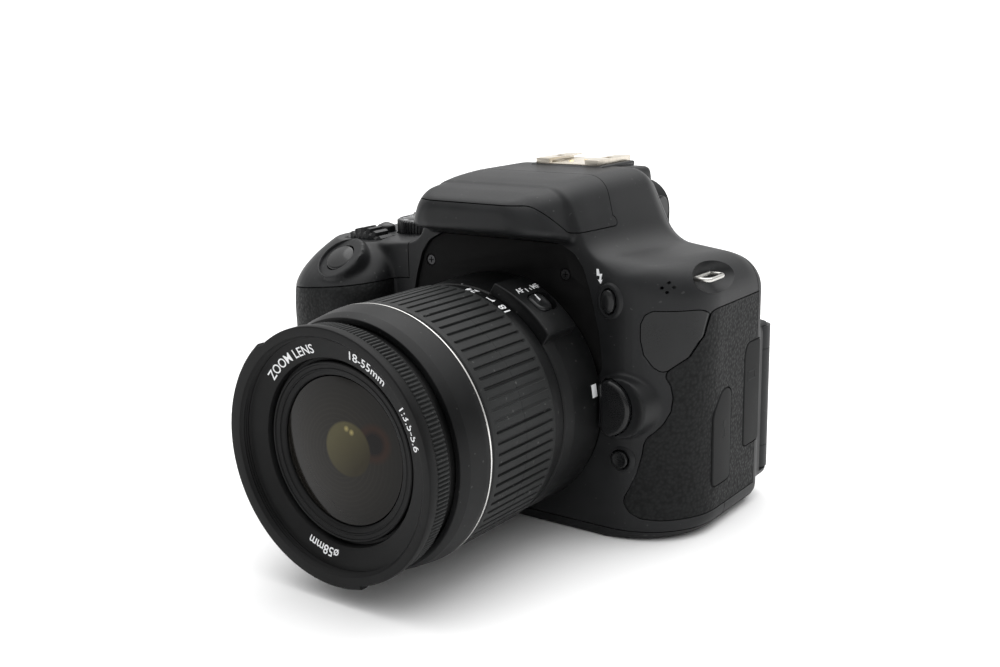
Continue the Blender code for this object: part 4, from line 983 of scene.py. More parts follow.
def lid_region(grow):
    return prism("lid_region", grown(soft_corners(LID_OUTLINE[:4], 3.0) + LID_OUTLINE[4:], grow),
        -FAR, FAR, "X")


def arch_region(grow):
    bottom = arc((0, AXIS_Z), ARCH_BOTTOM_RADIUS, 180, 360, 48)
    outline = bottom + soft_corners(ARCH, 4.0)
    return prism("arch", grown(outline, grow), FRONT_Y - 3.0, PLATE_BACK_Y + grow)


def card_door_block(grow):
    return block("card_door", (-80.0, 29.4 - grow, 16.0 - grow),
        (-73.9 + grow, 47.0 + grow, 59.0 + grow))


def battery_door_block(grow):
    return block("battery_door", (-69.0 - grow, -3.6 - grow, -1.0),
        (-46.0 + grow, 29.0 + grow, 5.0))


def ellipsoid(name, centre, radii, steps=64):
    bm = bmesh.new()
    bmesh.ops.create_uvsphere(bm, u_segments=steps, v_segments=steps // 2, radius=1.0)
    bmesh.ops.transform(bm, matrix=TO_WORLD @ Matrix.Translation(centre)
        @ Matrix.Diagonal((*radii, 1.0)), verts=bm.verts)
    mesh = bpy.data.meshes.new(name)
    bm.to_mesh(mesh)
    bm.free()
    return new_object(name, mesh)


def strap_pocket(side):
    x, y, z = STRAPS[side]
    return ellipsoid("pocket", (x + side * 5.0, y + 0.6, z + 1.6), (7.4, 12.0, 5.4))


def strap_block(side):
    """Plastic behind a strap pocket."""
    x, y, z = STRAPS[side]
    low, high = sorted((x - side * 4.4, x + side * 9.0))
    return boolean(
        block("strap_block", (low, y - 13.5, z - 6.4), (high, y + 14.5, z + 8.0)),
        body_form("inside", SKIN, 4.0, 4),
        "INTERSECT")


def build_covers():
    form = outer_form()
    under_skin = union(
        body_form("under", SKIN, 2.0, 6), grip_form("under_grip", SKIN, 2.5, 6),
        *back_blocks("under", SKIN, 0, 2.0))
    deep = SKIN + GAP
    floor = union(
        body_form("floor", deep, 2.0, 6), grip_form("floor_grip", deep, 2.5, 6),
        nose_form("floor_nose", deep, 2.0, 6), *back_blocks("floor", FLOOR_INSET, 0, 2.0))

    regions = {
        "side_rubber": side_region, "name_badge": badge_region, "grip_rubber": grip_region,
        "thumb_rubber": thumb_region}
    for name, region in regions.items():
        skin = boolean(copy_of(form, "skin_" + name), region(0.0), "INTERSECT")
        skin = boolean(skin, under_skin, "DIFFERENCE", keep_cutter=True)
        if name == "side_rubber":
            skin = cut(skin, badge_region(GAP), *(port_block(corners, GAP)
                for corners in PORTS.values()))
        if name == "grip_rubber":
            skin = cut(skin, rod("lamp_hole", (TIMER_LAMP[0], -6.0, TIMER_LAMP[2]), (0, 1, 0),
                LAMP_RADIUS, 12.0, 48))
        look = (GLOSS_BADGE, "lens_plastic") if name == "name_badge" else (RUBBER, "rubber_skin")
        dress(shade(skin), look[0], "body", look[1], [name])
    bpy.data.objects.remove(under_skin, do_unlink=True)

    base = boolean(copy_of(form, "base_shell"), block("slab", (-FAR, -FAR, -5.0),
        (FAR, FAR, BASE_THICK)), "INTERSECT")
    base = cut(
        base, battery_door_block(GAP), rod("socket_hole", (0, SOCKET_Y, -1), (0, 0, 1),
        SOCKET_RADIUS + GAP, 6, 64))
    dress(shade(base), COVER, "body", "shell_plastic", ["base_cover"])

    lid_form = copy_of(form, "flash_shell")
    shell = cut(form, *(region(GAP) for region in regions.values()),
        *(port_block(c, GAP) for c in PORTS.values()))
    shell = union(shell, floor)
    shell = cut(shell, inner_form(), arch_region(GAP))
    shell = union(shell, strap_block(1), strap_block(-1))
    holes = [strap_pocket(1), strap_pocket(-1)]
    holes += [button_hole(name, GAP) for name in BUTTONS if name != "set_button"]
    holes += [
        prism("release_hole", release_outline(GAP), -12.0, 6.5),
        rod("lamp_hole", (TIMER_LAMP[0], -4.0, TIMER_LAMP[2]), (0, 1, 0), LAMP_RADIUS, 9.0, 48),
        rod("dial_well", (MAIN_DIAL[0], MAIN_DIAL[1] - MAIN_DIAL_HALF - GAP, MAIN_DIAL[2]),
        (0, 1, 0), MAIN_DIAL_RADIUS + GAP,
            2 * (MAIN_DIAL_HALF + GAP), 96),
        rod("mode_well", MODE_DIAL, (0, 0, 1), MODE_RADIUS + GAP, 12, 96),
        rod("power_well", POWER, (0, 0, 1), POWER_RADIUS + GAP, 12, 64),
        block("screen_well", (SCREEN_LOW[0] - GAP, SCREEN_Y[0] - GAP, SCREEN_LOW[1] - GAP),
        (FAR, 70, SCREEN_HIGH[1] + GAP)),
        block("finder", (FINDER_LOW[0], 40.0, FINDER_LOW[1]),
        (FINDER_HIGH[0], 70.0, FINDER_HIGH[1])),
        block("card_well", (-80.0, 31.0, 19.0), (-70.0, 44.4, 56.0)), card_door_block(GAP),
        rod("diopter_well", (DIOPTER[0] - 2.3, *DIOPTER[1:]), (1, 0, 0), 4.6, 5.4, 48),
        rod("barrel_room", (0, -20, AXIS_Z), (0, 1, 0), LENS_ROOM_RADIUS, 20.3, 128)]
    for i, j in ((-1, 0), (1, 0), (0, 1), (0, -1)):
        x, z = MICROPHONES[0] + i * MICROPHONE_PITCH, MICROPHONES[1] + j * MICROPHONE_PITCH
        holes.append(rod("microphone", (x, 3.0, z), (0, 1, 0), 0.42, 5.0, 20))
    for i in range(3):
        for j in range(3):
            x, y = SPEAKER[0] + i * SPEAKER_PITCH, SPEAKER[1] + j * SPEAKER_PITCH
            holes.append(rod("speaker", (x, y, 76.0), (0, 0, 1), 0.45, 4.0, 16))
    shell = cut(shell, *holes)

    above = BASE_THICK + GAP
    rear_region = union(
        block("rear_low", (-FAR, SIDE_SEAM_Y, above), (FAR, FAR, SHOULDER_SEAM_Z)),
        block("rear_high", (-FAR, TOP_BACK_SEAM_Y, above), (FAR, FAR, FAR)))
    rear = boolean(copy_of(shell, "rear_shell"), rear_region, "INTERSECT")
    dress(shade(rear), COVER, "body", "shell_plastic", ["rear_cover"])

    seam = [(-FAR, deck_seam(-FAR)), (DECK_SEAM_X, deck_seam(DECK_SEAM_X)), (DECK_SEAM_X, FAR),
        (-FAR, FAR)]
    top = boolean(copy_of(shell, "top_shell"), prism("deck", seam, -FAR, TOP_BACK_SEAM_Y - GAP),
        "INTERSECT")
    top = cut(top, block("rear_part", (-FAR, SIDE_SEAM_Y - GAP, -FAR),
        (FAR, FAR, SHOULDER_SEAM_Z + GAP)))
    dress(shade(top), COVER, "body", "shell_plastic", ["top_cover"])

    front = cut(
        shell, block("low_part", (-FAR, -FAR, -FAR), (FAR, FAR, above)),
        block("rear_part", (-FAR, SIDE_SEAM_Y - GAP, -FAR), (FAR, FAR, SHOULDER_SEAM_Z + GAP)),
        block("back_part", (-FAR, TOP_BACK_SEAM_Y - GAP, -FAR), (FAR, FAR, FAR)),
        prism("deck_gap", grown(seam, GAP), -FAR, FAR), lid_region(GAP),
        block("lamp_well", (-16.6, -12.2, 86.2), (16.6, 4.0, FAR)))
    front.name = "front_shell"
    dress(shade(front), COVER, "body", "shell_plastic", ["front_cover"])

    lid = boolean(lid_form, lid_region(0.0), "INTERSECT")
    lid_inside = union(
        body_form("lid_hollow", LID_THICK, 2.0, 6), nose_form("lid_hollow_nose", LID_THICK, 1.5, 6))
    dress(shade(cut(lid, lid_inside)), COVER, "flash", "shell_plastic", ["flash_lid"])


GLOSS_BADGE = moulded("badge_plastic", (0.0050, 0.0053, 0.0056), 0.30, grain=0.004, grain_size=0.25,
    specular=0.26, wear=0.15)
build_covers()


# ---------------------------------------------------------------- marks and labels

def label(text, size):
    """Points (across, up, depth from -1 to 1) and faces of a text in the built-in face."""
    curve = bpy.data.curves.new("label", "FONT")
    curve.body = text
    curve.size = size
    curve.align_x = "CENTER"
    curve.align_y = "CENTER"
    curve.extrude = 1.0
    curve.offset = 0.006 * size
    curve.resolution_u = 3
    holder = new_object("label", curve)
    graph = bpy.context.evaluated_depsgraph_get()
    mesh = bpy.data.meshes.new_from_object(holder.evaluated_get(graph))
    points = [tuple(v.co) for v in mesh.vertices]
    faces = [tuple(p.vertices) for p in mesh.polygons]
    bpy.data.objects.remove(holder, do_unlink=True)
    return points, faces


def outline_label(*outlines):
    """The same from flat outlines, each a list of (across, up)."""
    points, faces = [], []
    for outline in outlines:
        first, count = len(points), len(outline)
        points += [(u, v, side) for side in (-1.0, 1.0) for u, v in outline]
        faces += [tuple(range(first, first + count)),
            tuple(range(first + 2 * count - 1, first + count - 1, -1))]
        faces += [(first + i, first + (i + 1) % count, first + count + (i + 1) % count,
            first + count + i)
                  for i in range(count)]
    return points, faces


def stroke(u0, v0, u1, v1, width):
    along = Vector((u1 - u0, v1 - v0)).normalized() * 0.5
    side = Vector((-along.y, along.x)) * width
    return [(u0 - side.x, v0 - side.y), (u1 - side.x, v1 - side.y), (u1 + side.x, v1 + side.y),
        (u0 + side.x, v0 + side.y)]


PRINT_DEPTH = 0.035


def stamped(name, shape, place, material, body, slot, depth=PRINT_DEPTH):
    """A thin printed or moulded mark laid on a surface; place gives a point and the outward way."""
    points, faces = shape
    moved = []
    for u, v, side in points:
        point, out = place(u, v)
        moved.append(Vector(point) + Vector(out) * (depth * side))
    return dress(cleaned(from_points(name, moved, faces), 1e-8), material, body, slot)


def on_ring(angle, radius, slope=0.0, front=0.0):
    """Text around a forward-facing ring, read clockwise from the front."""
    def place(u, v):
        a = math.radians(angle) - u / radius
        r = radius + v
        out = Vector((math.cos(a) * slope, -1.0, math.sin(a) * slope)).normalized()
        return (r * math.cos(a), -(front + v * slope), AXIS_Z + r * math.sin(a)), out
    return place


def on_barrel(angle, radius, forward):
    """Text on the lens's side, its top towards the front, for someone holding the camera."""
    def place(u, v):
        a = math.radians(angle) + u / radius
        out = Vector((math.cos(a), 0.0, math.sin(a)))
        return (out.x * radius, -(forward + v), AXIS_Z + out.z * radius), out
    return place


def along_barrel(angle, radius, forward):
    """Text along the lens's side, read towards the body, its top towards the lens's top."""
    def place(u, v):
        a = math.radians(angle) + v / radius
        out = Vector((math.cos(a), 0.0, math.sin(a)))
        return (out.x * radius, u - forward, AXIS_Z + out.z * radius), out
    return place


def on_plane(centre, across, up):
    across, up = Vector(across).normalized(), Vector(up).normalized()
    out = across.cross(up)
    return lambda u, v: (Vector(centre) + across * u + up * v, out)


# ---------------------------------------------------------------- lens: scales and focus switch

SWITCH_ANGLE, SWITCH_Y, SLOT_Y = 54.0, -10.7, -9.7
NAME_RADIUS = 26.3
ZOOM_FACE, ZOOM_TEXT_Y = 32.97, 19.6
SWITCH_FACE = 36.42
NAME_FRONT, NAME_SLOPE = 68.26, 0.244


def lens_marks():
    for text, angle in (("ZOOM LENS", 122.0), ("18-55mm", 64.0), ("1:3.5-5.6", 24.0),
            ("ø58mm", 257.0)):
        stamped("ring_text", label(text, 3.3), on_ring(angle, NAME_RADIUS, NAME_SLOPE, NAME_FRONT),
            WHITE, "focus", "lens_plastic", 0.05)
    for text, angle in (("18", 60.3), ("24", 80.2), ("35", 103.0), ("55", 127.0)):
        stamped("zoom_number", label(text, 3.7), on_barrel(angle, ZOOM_FACE, ZOOM_TEXT_Y), WHITE,
            "zoom", "lens_plastic")
    stamped("zoom_dash", outline_label(stroke(-1.2, 0.5, 1.2, 0.5, 0.45),
        [(-1.3, 0.3), (-0.4, 0.3), (-1.0, -0.7)]),
            on_barrel(69.0, ZOOM_FACE, ZOOM_TEXT_Y), WHITE, "zoom", "lens_plastic")
    stamped("index_line", outline_label(stroke(0, -1.5, 0, 1.5, 0.5)), on_barrel(90.0, 33.1, 15.2),
        WHITE, "body", "lens_plastic")
    square = [(-1.75, -1.15), (1.75, -1.15), (1.75, 1.15), (-1.75, 1.15)]
    stamped("mount_mark", outline_label(square), on_barrel(8.5, 33.72, 3.2), WHITE, "body",
        "lens_plastic", 0.12)
    for text, forward in (("AF", 13.3), ("MF", 6.3)):
        stamped("switch_text", label(text, 2.6), along_barrel(62.6, SWITCH_FACE, forward), WHITE,
            "body", "lens_plastic")
    for forward, tall in ((10.7, 0.7), (8.9, 0.45)):
        stamped("switch_tick", outline_label(stroke(0, -tall, 0, tall, 0.36)),
            along_barrel(62.0, SWITCH_FACE, forward), WHITE,
                "body", "lens_plastic")


def barrel_with_box():
    barrel = turned("fixed_barrel", [
        (22.0, -4.0), (24.1, -4.0), (24.1, 0.3), (33.8, 0.3, 0.25), (33.62, 9.0), (33.5, 13.2, 0.5),
        (33.1, 16.8, 0.5), (32.7, 17.2), (30.2, 17.2), (30.2, 48.4), (28.6, 48.4), (28.6, 8.0),
        (22.0, 8.0)])
    outline = arc((0, AXIS_Z), 36.4, 38.5, 72, 24) + arc((0, AXIS_Z), 31.0, 74.5, 35.5, 12)
    outline = filleted([(u, v, 1.2 if i in (0, 24) else 0.0) for i, (u, v) in enumerate(outline)],
        5)
    box = bevelled(prism("switch_box", outline, -17.3, -4.2), 1.1, 5, 50)
    barrel = boolean(barrel, box, "UNION")
    turn = Matrix.Rotation(math.radians(90.0 - SWITCH_ANGLE), 4, "Y")

    def placed(u, v, w, middle):
        return Matrix.Translation((0, middle, AXIS_Z)) @ turn @ Vector((u, v, w))

    def rounded_box(half_u, half_v, radius):
        return rounded(-half_u, -half_v, half_u, half_v, radius, 6)

    slot = rounded_box(3.4, 4.6, 2.6)
    barrel = cut(barrel, loft("slot", [[placed(u, v, w, SLOT_Y) for u, v in slot]
        for w in (34.25, 40.0)]))
    dress(shade(barrel, 28), LENS, "body", "lens_plastic", ["lens_barrel"])
    # The slider: a rounded block, dished along its middle, with a white line.
    levels = ((0.0, 34.6), (0.0, 36.3), (0.12, 36.55), (0.35, 36.75), (0.75, 36.85), (1.2, 36.8),
        (1.8, 36.62))
    rings = []
    for inset, w in levels:
        outline = rounded_box(3.0 - inset, 3.1 - inset, 2.2 - inset * 0.8)
        rings.append([placed(u, v, w, SWITCH_Y) for u, v in outline])
    dress(shade(loft("switch_slider", rings), 40), BUTTON, "af_switch", "button_plastic",
        ["af_switch"])
    line = [placed(u, v, w, SWITCH_Y) for w in (36.5, 36.86)
        for u, v in ((-2.5, -0.19), (-0.3, -0.19), (-0.3, 0.19), (-2.5, 0.19))]
    line = from_points("slider_line", line, [(3, 2, 1, 0), (4, 5, 6, 7), (0, 1, 5, 4), (1, 2, 6, 5),
        (2, 3, 7, 6), (3, 0, 4, 7)])
    dress(line, WHITE, "af_switch", "button_plastic")


# ---------------------------------------------------------------- buttons, dials and fittings

def crown(deep, proud, radius, edge=0.45, dome=0.25):
    """Profile of a button: straight side, rounded edge, and a face that rises or sinks by dome."""
    profile = [(0.0, -deep), (0.0, proud - edge)]
    for i in range(1, 6):
        a = math.pi / 2 * i / 5
        profile.append((edge * (math.cos(a) - 1), proud - edge + edge * math.sin(a)))
    flat = radius - edge
    for f in (0.85, 0.65, 0.45, 0.25, 0.08):
        profile.append((-(edge + flat * (1 - f)), proud + dome * (1 - f * f)))
    return profile


def button(name, material=None, dome=0.25, edge=0.45):
    centre, direction, radii, proud, deep = BUTTONS[name]
    made = oval(name + "_cap", centre, direction, radii, crown(deep, proud, min(radii), edge, dome))
    return dress(shade(made, 40), material or BUTTON, name, "button_plastic", [name])


def collar(name, grow, width, height, material=None, sink=0.5):
    """A raised ring moulded around a button."""
    centre, direction, radii, _, _ = BUTTONS[name]
    outer = oval("collar", centre, direction, radii, [
        (grow + width + 0.5, -sink), (grow + width, 0.02), (grow + width * 0.72, height * 0.8),
        (grow + width * 0.4, height), (grow + width * 0.15, height * 0.85), (grow, height * 0.3),
        (grow, -sink)])
    hole = oval("collar_hole", centre, direction, radii, [(grow, -sink - 2), (grow, height + 2)])
    return dress(shade(cut(outer, hole)), material or COVER, "body", "shell_plastic")


def knurled(name, centre, direction, radius, low, high, count, depth, material, body, nodes, top=(),
        slot="button_plastic",
            chamfer=0.4, half=0.18, slope=0.22):
    """A wheel with ribs around its rim; top adds profile points towards the middle of its face."""
    def ring_at(a):
        wave = groove_wave(a * radius, 2 * math.pi * radius / count, half, slope)
        dip = radius - depth * wave
        return [(0.0, low), (radius - depth - chamfer, low), (dip - 0.05, low + chamfer),
            (dip, high - chamfer),
                (radius - depth - chamfer * 0.6, high), *top, (0.0, top[-1][1] if top else high)]

    made = swept(name, ring_at, rib_angles(count, radius, half, slope, 1), centre, direction)
    return dress(shade(made, 35), material, body, slot, nodes)


def front_controls():
    button("shutter_button", GLOSS, dome=0.5, edge=0.9)
    button("flash_button", dome=0.35)
    button("preview_button", dome=-0.2)
    button("iso_button", GLOSS, dome=0.6, edge=1.0)
    collar("flash_button", 0.3, 1.5, 0.55)
    collar("preview_button", 0.3, 1.1, 0.35)
    collar("shutter_button", 2.7, 0.5, 0.4, sink=2.0)
    release = prism("release_cap", release_outline(0.0), -3.6, 2.2)
    release = bevelled(release, 1.1, 6, 50)
    dress(shade(release, 40), BUTTON, "release_button", "button_plastic", ["release_button"])
    lamp = turned("lamp_window", [(0.0, 3.9), (1.8, 3.9), (1.8, 6.3, 0.3), (0.0, 6.7)], 48,
        centre=(TIMER_LAMP[0], 10.0, TIMER_LAMP[2]))
    lamp.matrix_world = Matrix.Translation((0, -0.4 * MM, 0))
    dress(shade(applied(lamp)), RED_LAMP, "body", "screen_glass", ["timer_lamp"])
    bolt = [(-1.0, 1.9), (-0.45, 1.9), (-0.2, 0.65), (0.65, 0.7), (0.3, -0.9), (0.75, -0.85),
        (0.2, -2.0), (-0.6, -0.95),
            (-0.15, -0.95), (-0.05, 0.1), (-0.95, 0.15)]
    stamped("bolt_mark", outline_label(bolt), on_plane((33.0, 0.42, 73.3), (1, 0, 0), (0, 0, 1)),
        WHITE, "body", "shell_plastic", 0.1)


def plate_and_screws():
    plate = boolean(
        arch_region(0.0), block("plate_slab", (-FAR, PLATE_Y, 0), (FAR, PLATE_BACK_Y, 80.7)),
        "INTERSECT")
    plate = cut(plate, rod("throat", (0, -2, AXIS_Z), (0, 1, 0), 26.9, 12, 128))
    screws = [(-25.4, 72.4), (21.2, 72.4)]
    plate = cut(plate, *(rod("sink", (x, PLATE_Y - 1, z), (0, 1, 0), 1.75, 1.5, 32)
        for x, z in screws))
    dress(shade(bevelled(plate, 0.25, 2, 50)), PLATE, "body", "shell_plastic", ["front_plate"])
    for x, z in screws:
        head = rod("screw_head", (x, PLATE_Y + 0.95, z), (0, -1, 0), 1.6, 0.75, 32, 1.35)
        for k in range(2):
            wide, tall = (1.7, 0.34) if k else (0.34, 1.7)
            head = cut(head, block("cross", (x - wide / 2, PLATE_Y - 1, z - tall / 2),
                (x + wide / 2, PLATE_Y + 0.6, z + tall / 2)))
        dress(shade(head), BLACK_METAL, "body", "dark_metal")


def top_controls():
    knurled("mode_wheel", MODE_DIAL, (0, 0, 1), MODE_RADIUS, 1.0, MODE_TOP, 56, 0.35, BUTTON,
        "mode_dial", ["mode_dial"],
            top=[(MODE_RADIUS - back, MODE_TOP - sunk) for back, sunk in MODE_CHANNEL])
    x, y, z = MODE_DIAL
    for k, text in enumerate(("1", "2", "3", "4", "5", "6", "7", "8", "9", "10", "A", "M")):
        a = math.radians(90 - 30 * k)
        out = Vector((math.cos(a), math.sin(a), 0))
        middle = (x + MODE_MARK_RADIUS * out.x, y + MODE_MARK_RADIUS * out.y, z + MODE_TOP - 0.08)
        stamped("mode_mark", label(text, 2.0), on_plane(middle, (out.y, -out.x, 0), out),
                WHITE, "mode_dial", "button_plastic")
    knurled("control_wheel", MAIN_DIAL, (0, 1, 0), MAIN_DIAL_RADIUS, -MAIN_DIAL_HALF,
        MAIN_DIAL_HALF, 23, 1.1, BUTTON, "main_dial", ["main_dial"],
            chamfer=0.6, half=0.35, slope=0.4)
    x, y, z = POWER
    lever = rod("lever", (x, y, z + 0.6), (0, 0, 1), POWER_RADIUS, 2.4, 64)
    lever = union(
        lever, rod("core", (x, y, 77.0), (0, 0, 1), POWER_RADIUS - 0.4, 2.6, 64,
        POWER_RADIUS - 0.9),
        block("tab", (x - 1.2, y - 7.0, 78.2), (x + 1.2, y, 79.5)))
    dress(shade(bevelled(lever, 0.25, 3, 40)), BUTTON, "power_lever", "button_plastic",
        ["power_lever"])
    stamped("power_index", outline_label(stroke(0, -0.9, 0, 0.9, 0.4)),
        on_plane((x, y - 5.4, 79.5), (1, 0, 0), (0, 1, 0)),
            WHITE, "power_lever", "button_plastic")
    stamped("dial_index", outline_label(stroke(0, -0.8, 0, 0.8, 0.5)),
        on_plane((MODE_DIAL[0], MODE_DIAL[1] + 11.6, 76.9), (1, 0, 0.058), (0, 1, 0)),
            WHITE, "body", "shell_plastic")


def shoe_and_loops():
    base = bevelled(prism("shoe_base", [
        (34.0, 97.0), (35.6, 98.0), (54.2, 98.0), (54.2, 96.4), (45.0, 96.0), (34.0, 95.8)], -12.6,
        12.6, "X"), 0.5, 3, 20)
    base = cut(base, block("shoe_room", (-11.05, 35.4, 97.65), (11.05, 60.0, 100.0)))
    dress(shade(base), COVER, "body", "shell_plastic")
    shoe = block("shoe", (-10.9, 35.6, 97.8), (10.9, 54.4, 99.5))
    shoe = cut(
        shoe, block("under_rails", (-9.4, 37.4, SHOE_FLOOR_Z), (9.4, 60.0, 99.0)),
        block("throat", (-6.3, 30.0, SHOE_FLOOR_Z), (6.3, 60.0, 102.0)))
    for side in (-1, 1):
        shoe = cut(shoe, block("notch", (side * 8.6 - 1.0, 44.0, 98.9),
            (side * 8.6 + 1.0, 47.0, 102.0)))
    dress(shade(bevelled(shoe, 0.16, 2, 40)), SHOE_METAL, "body", "bright_metal", ["hot_shoe"])
    for k, (x, y) in enumerate([(0, 47.0), (-3.2, 43.2), (3.2, 43.2), (3.2, 50.2)]):
        radius = 0.8 if k else 1.0
        contact = turned(
            "shoe_contact", [(0.0, 0.0), (radius, 0.0), (radius - 0.15, 0.18, 0.08), (0.0, 0.2)],
            32, centre=(x, y, SHOE_FLOOR_Z), direction=(0, 0, 1))
        dress(shade(contact), GOLD, "body", "bright_metal")
    for side, name in ((1, "strap_loop_left"), (-1, "strap_loop_right")):
        x, y, z = STRAPS[side]
        path = filleted([(-1.5, -4.6, 0.5), (3.1, -4.6, 1.6), (3.1, 4.6, 1.6), (-1.5, 4.6, 0.5)], 6)
        wire = []
        section = [(0.5 * math.cos(a), 0.62 * math.sin(a)) for a in even_angles(16)]
        count = len(path)
        for i, (u, v) in enumerate(path):
            ahead = Vector(path[(i + 1) % count]) - Vector(path[i - 1])
            normal = Vector((ahead.y, -ahead.x)).normalized()
            wire.append([
                (x + side * (u + normal.x * s), y + v + normal.y * s, z + 0.25 + t)
                for s, t in section])
        eye = from_points("strap_eye", [p for ring in wire for p in ring],
            tube_faces(count, len(section)))
        dress(shade(eye), STEEL, "body", "bright_metal", [name])


def port_covers():
    for name, corners in PORTS.items():
        door = bevelled(prism(name + "_flap", filleted(corners, 6), PORT_IN_X, PORT_OUT_X, "X"),
            0.4, 4, 50)
        dress(shade(door), SOFT_RUBBER, name, "rubber_skin", [name])
    ring = [(1.05 * math.cos(a), 1.05 * math.sin(a)) for a in even_angles(24)]
    at = on_plane((PORT_OUT_X, 25.6, 30.0), (0, 1, 0), (0, 0, 1))
    stamped("jack_mark", outline_label(ring, stroke(0, -1.6, 0, -3.8, 0.5),
        stroke(-0.9, -3.9, 0.9, -3.9, 0.5)), at,
            SOFT_RUBBER, "mic_port_cover", "rubber_skin", 0.06)
    at = on_plane((PORT_OUT_X, 42.4, 40.0), (0, 1, 0), (0, 0, 1))
    frame_mark = [stroke(-2.4, v, 2.4, v, 0.45) for v in (-1.2, 1.2)]
    frame_mark += [stroke(u, -1.1, u, 1.1, 0.45) for u in (-2.2, 2.2)]
    stamped("video_mark", outline_label(*frame_mark), at, SOFT_RUBBER, "video_port_cover",
        "rubber_skin", 0.06)


RED_LAMP = moulded("lamp_red", (0.05, 0.006, 0.005), 0.12, wear=0.0)
BLACK_METAL = metal("black_metal", (0.06, 0.06, 0.062), 0.4)
SHOE_METAL = metal("shoe_metal", (0.76, 0.70, 0.60), 0.32, brushed=0.003)
GOLD = metal("gold_contact", (0.85, 0.66, 0.32), 0.25)
barrel_with_box()
lens_marks()
front_controls()
plate_and_screws()
top_controls()
shoe_and_loops()
port_covers()


# ---------------------------------------------------------------- back

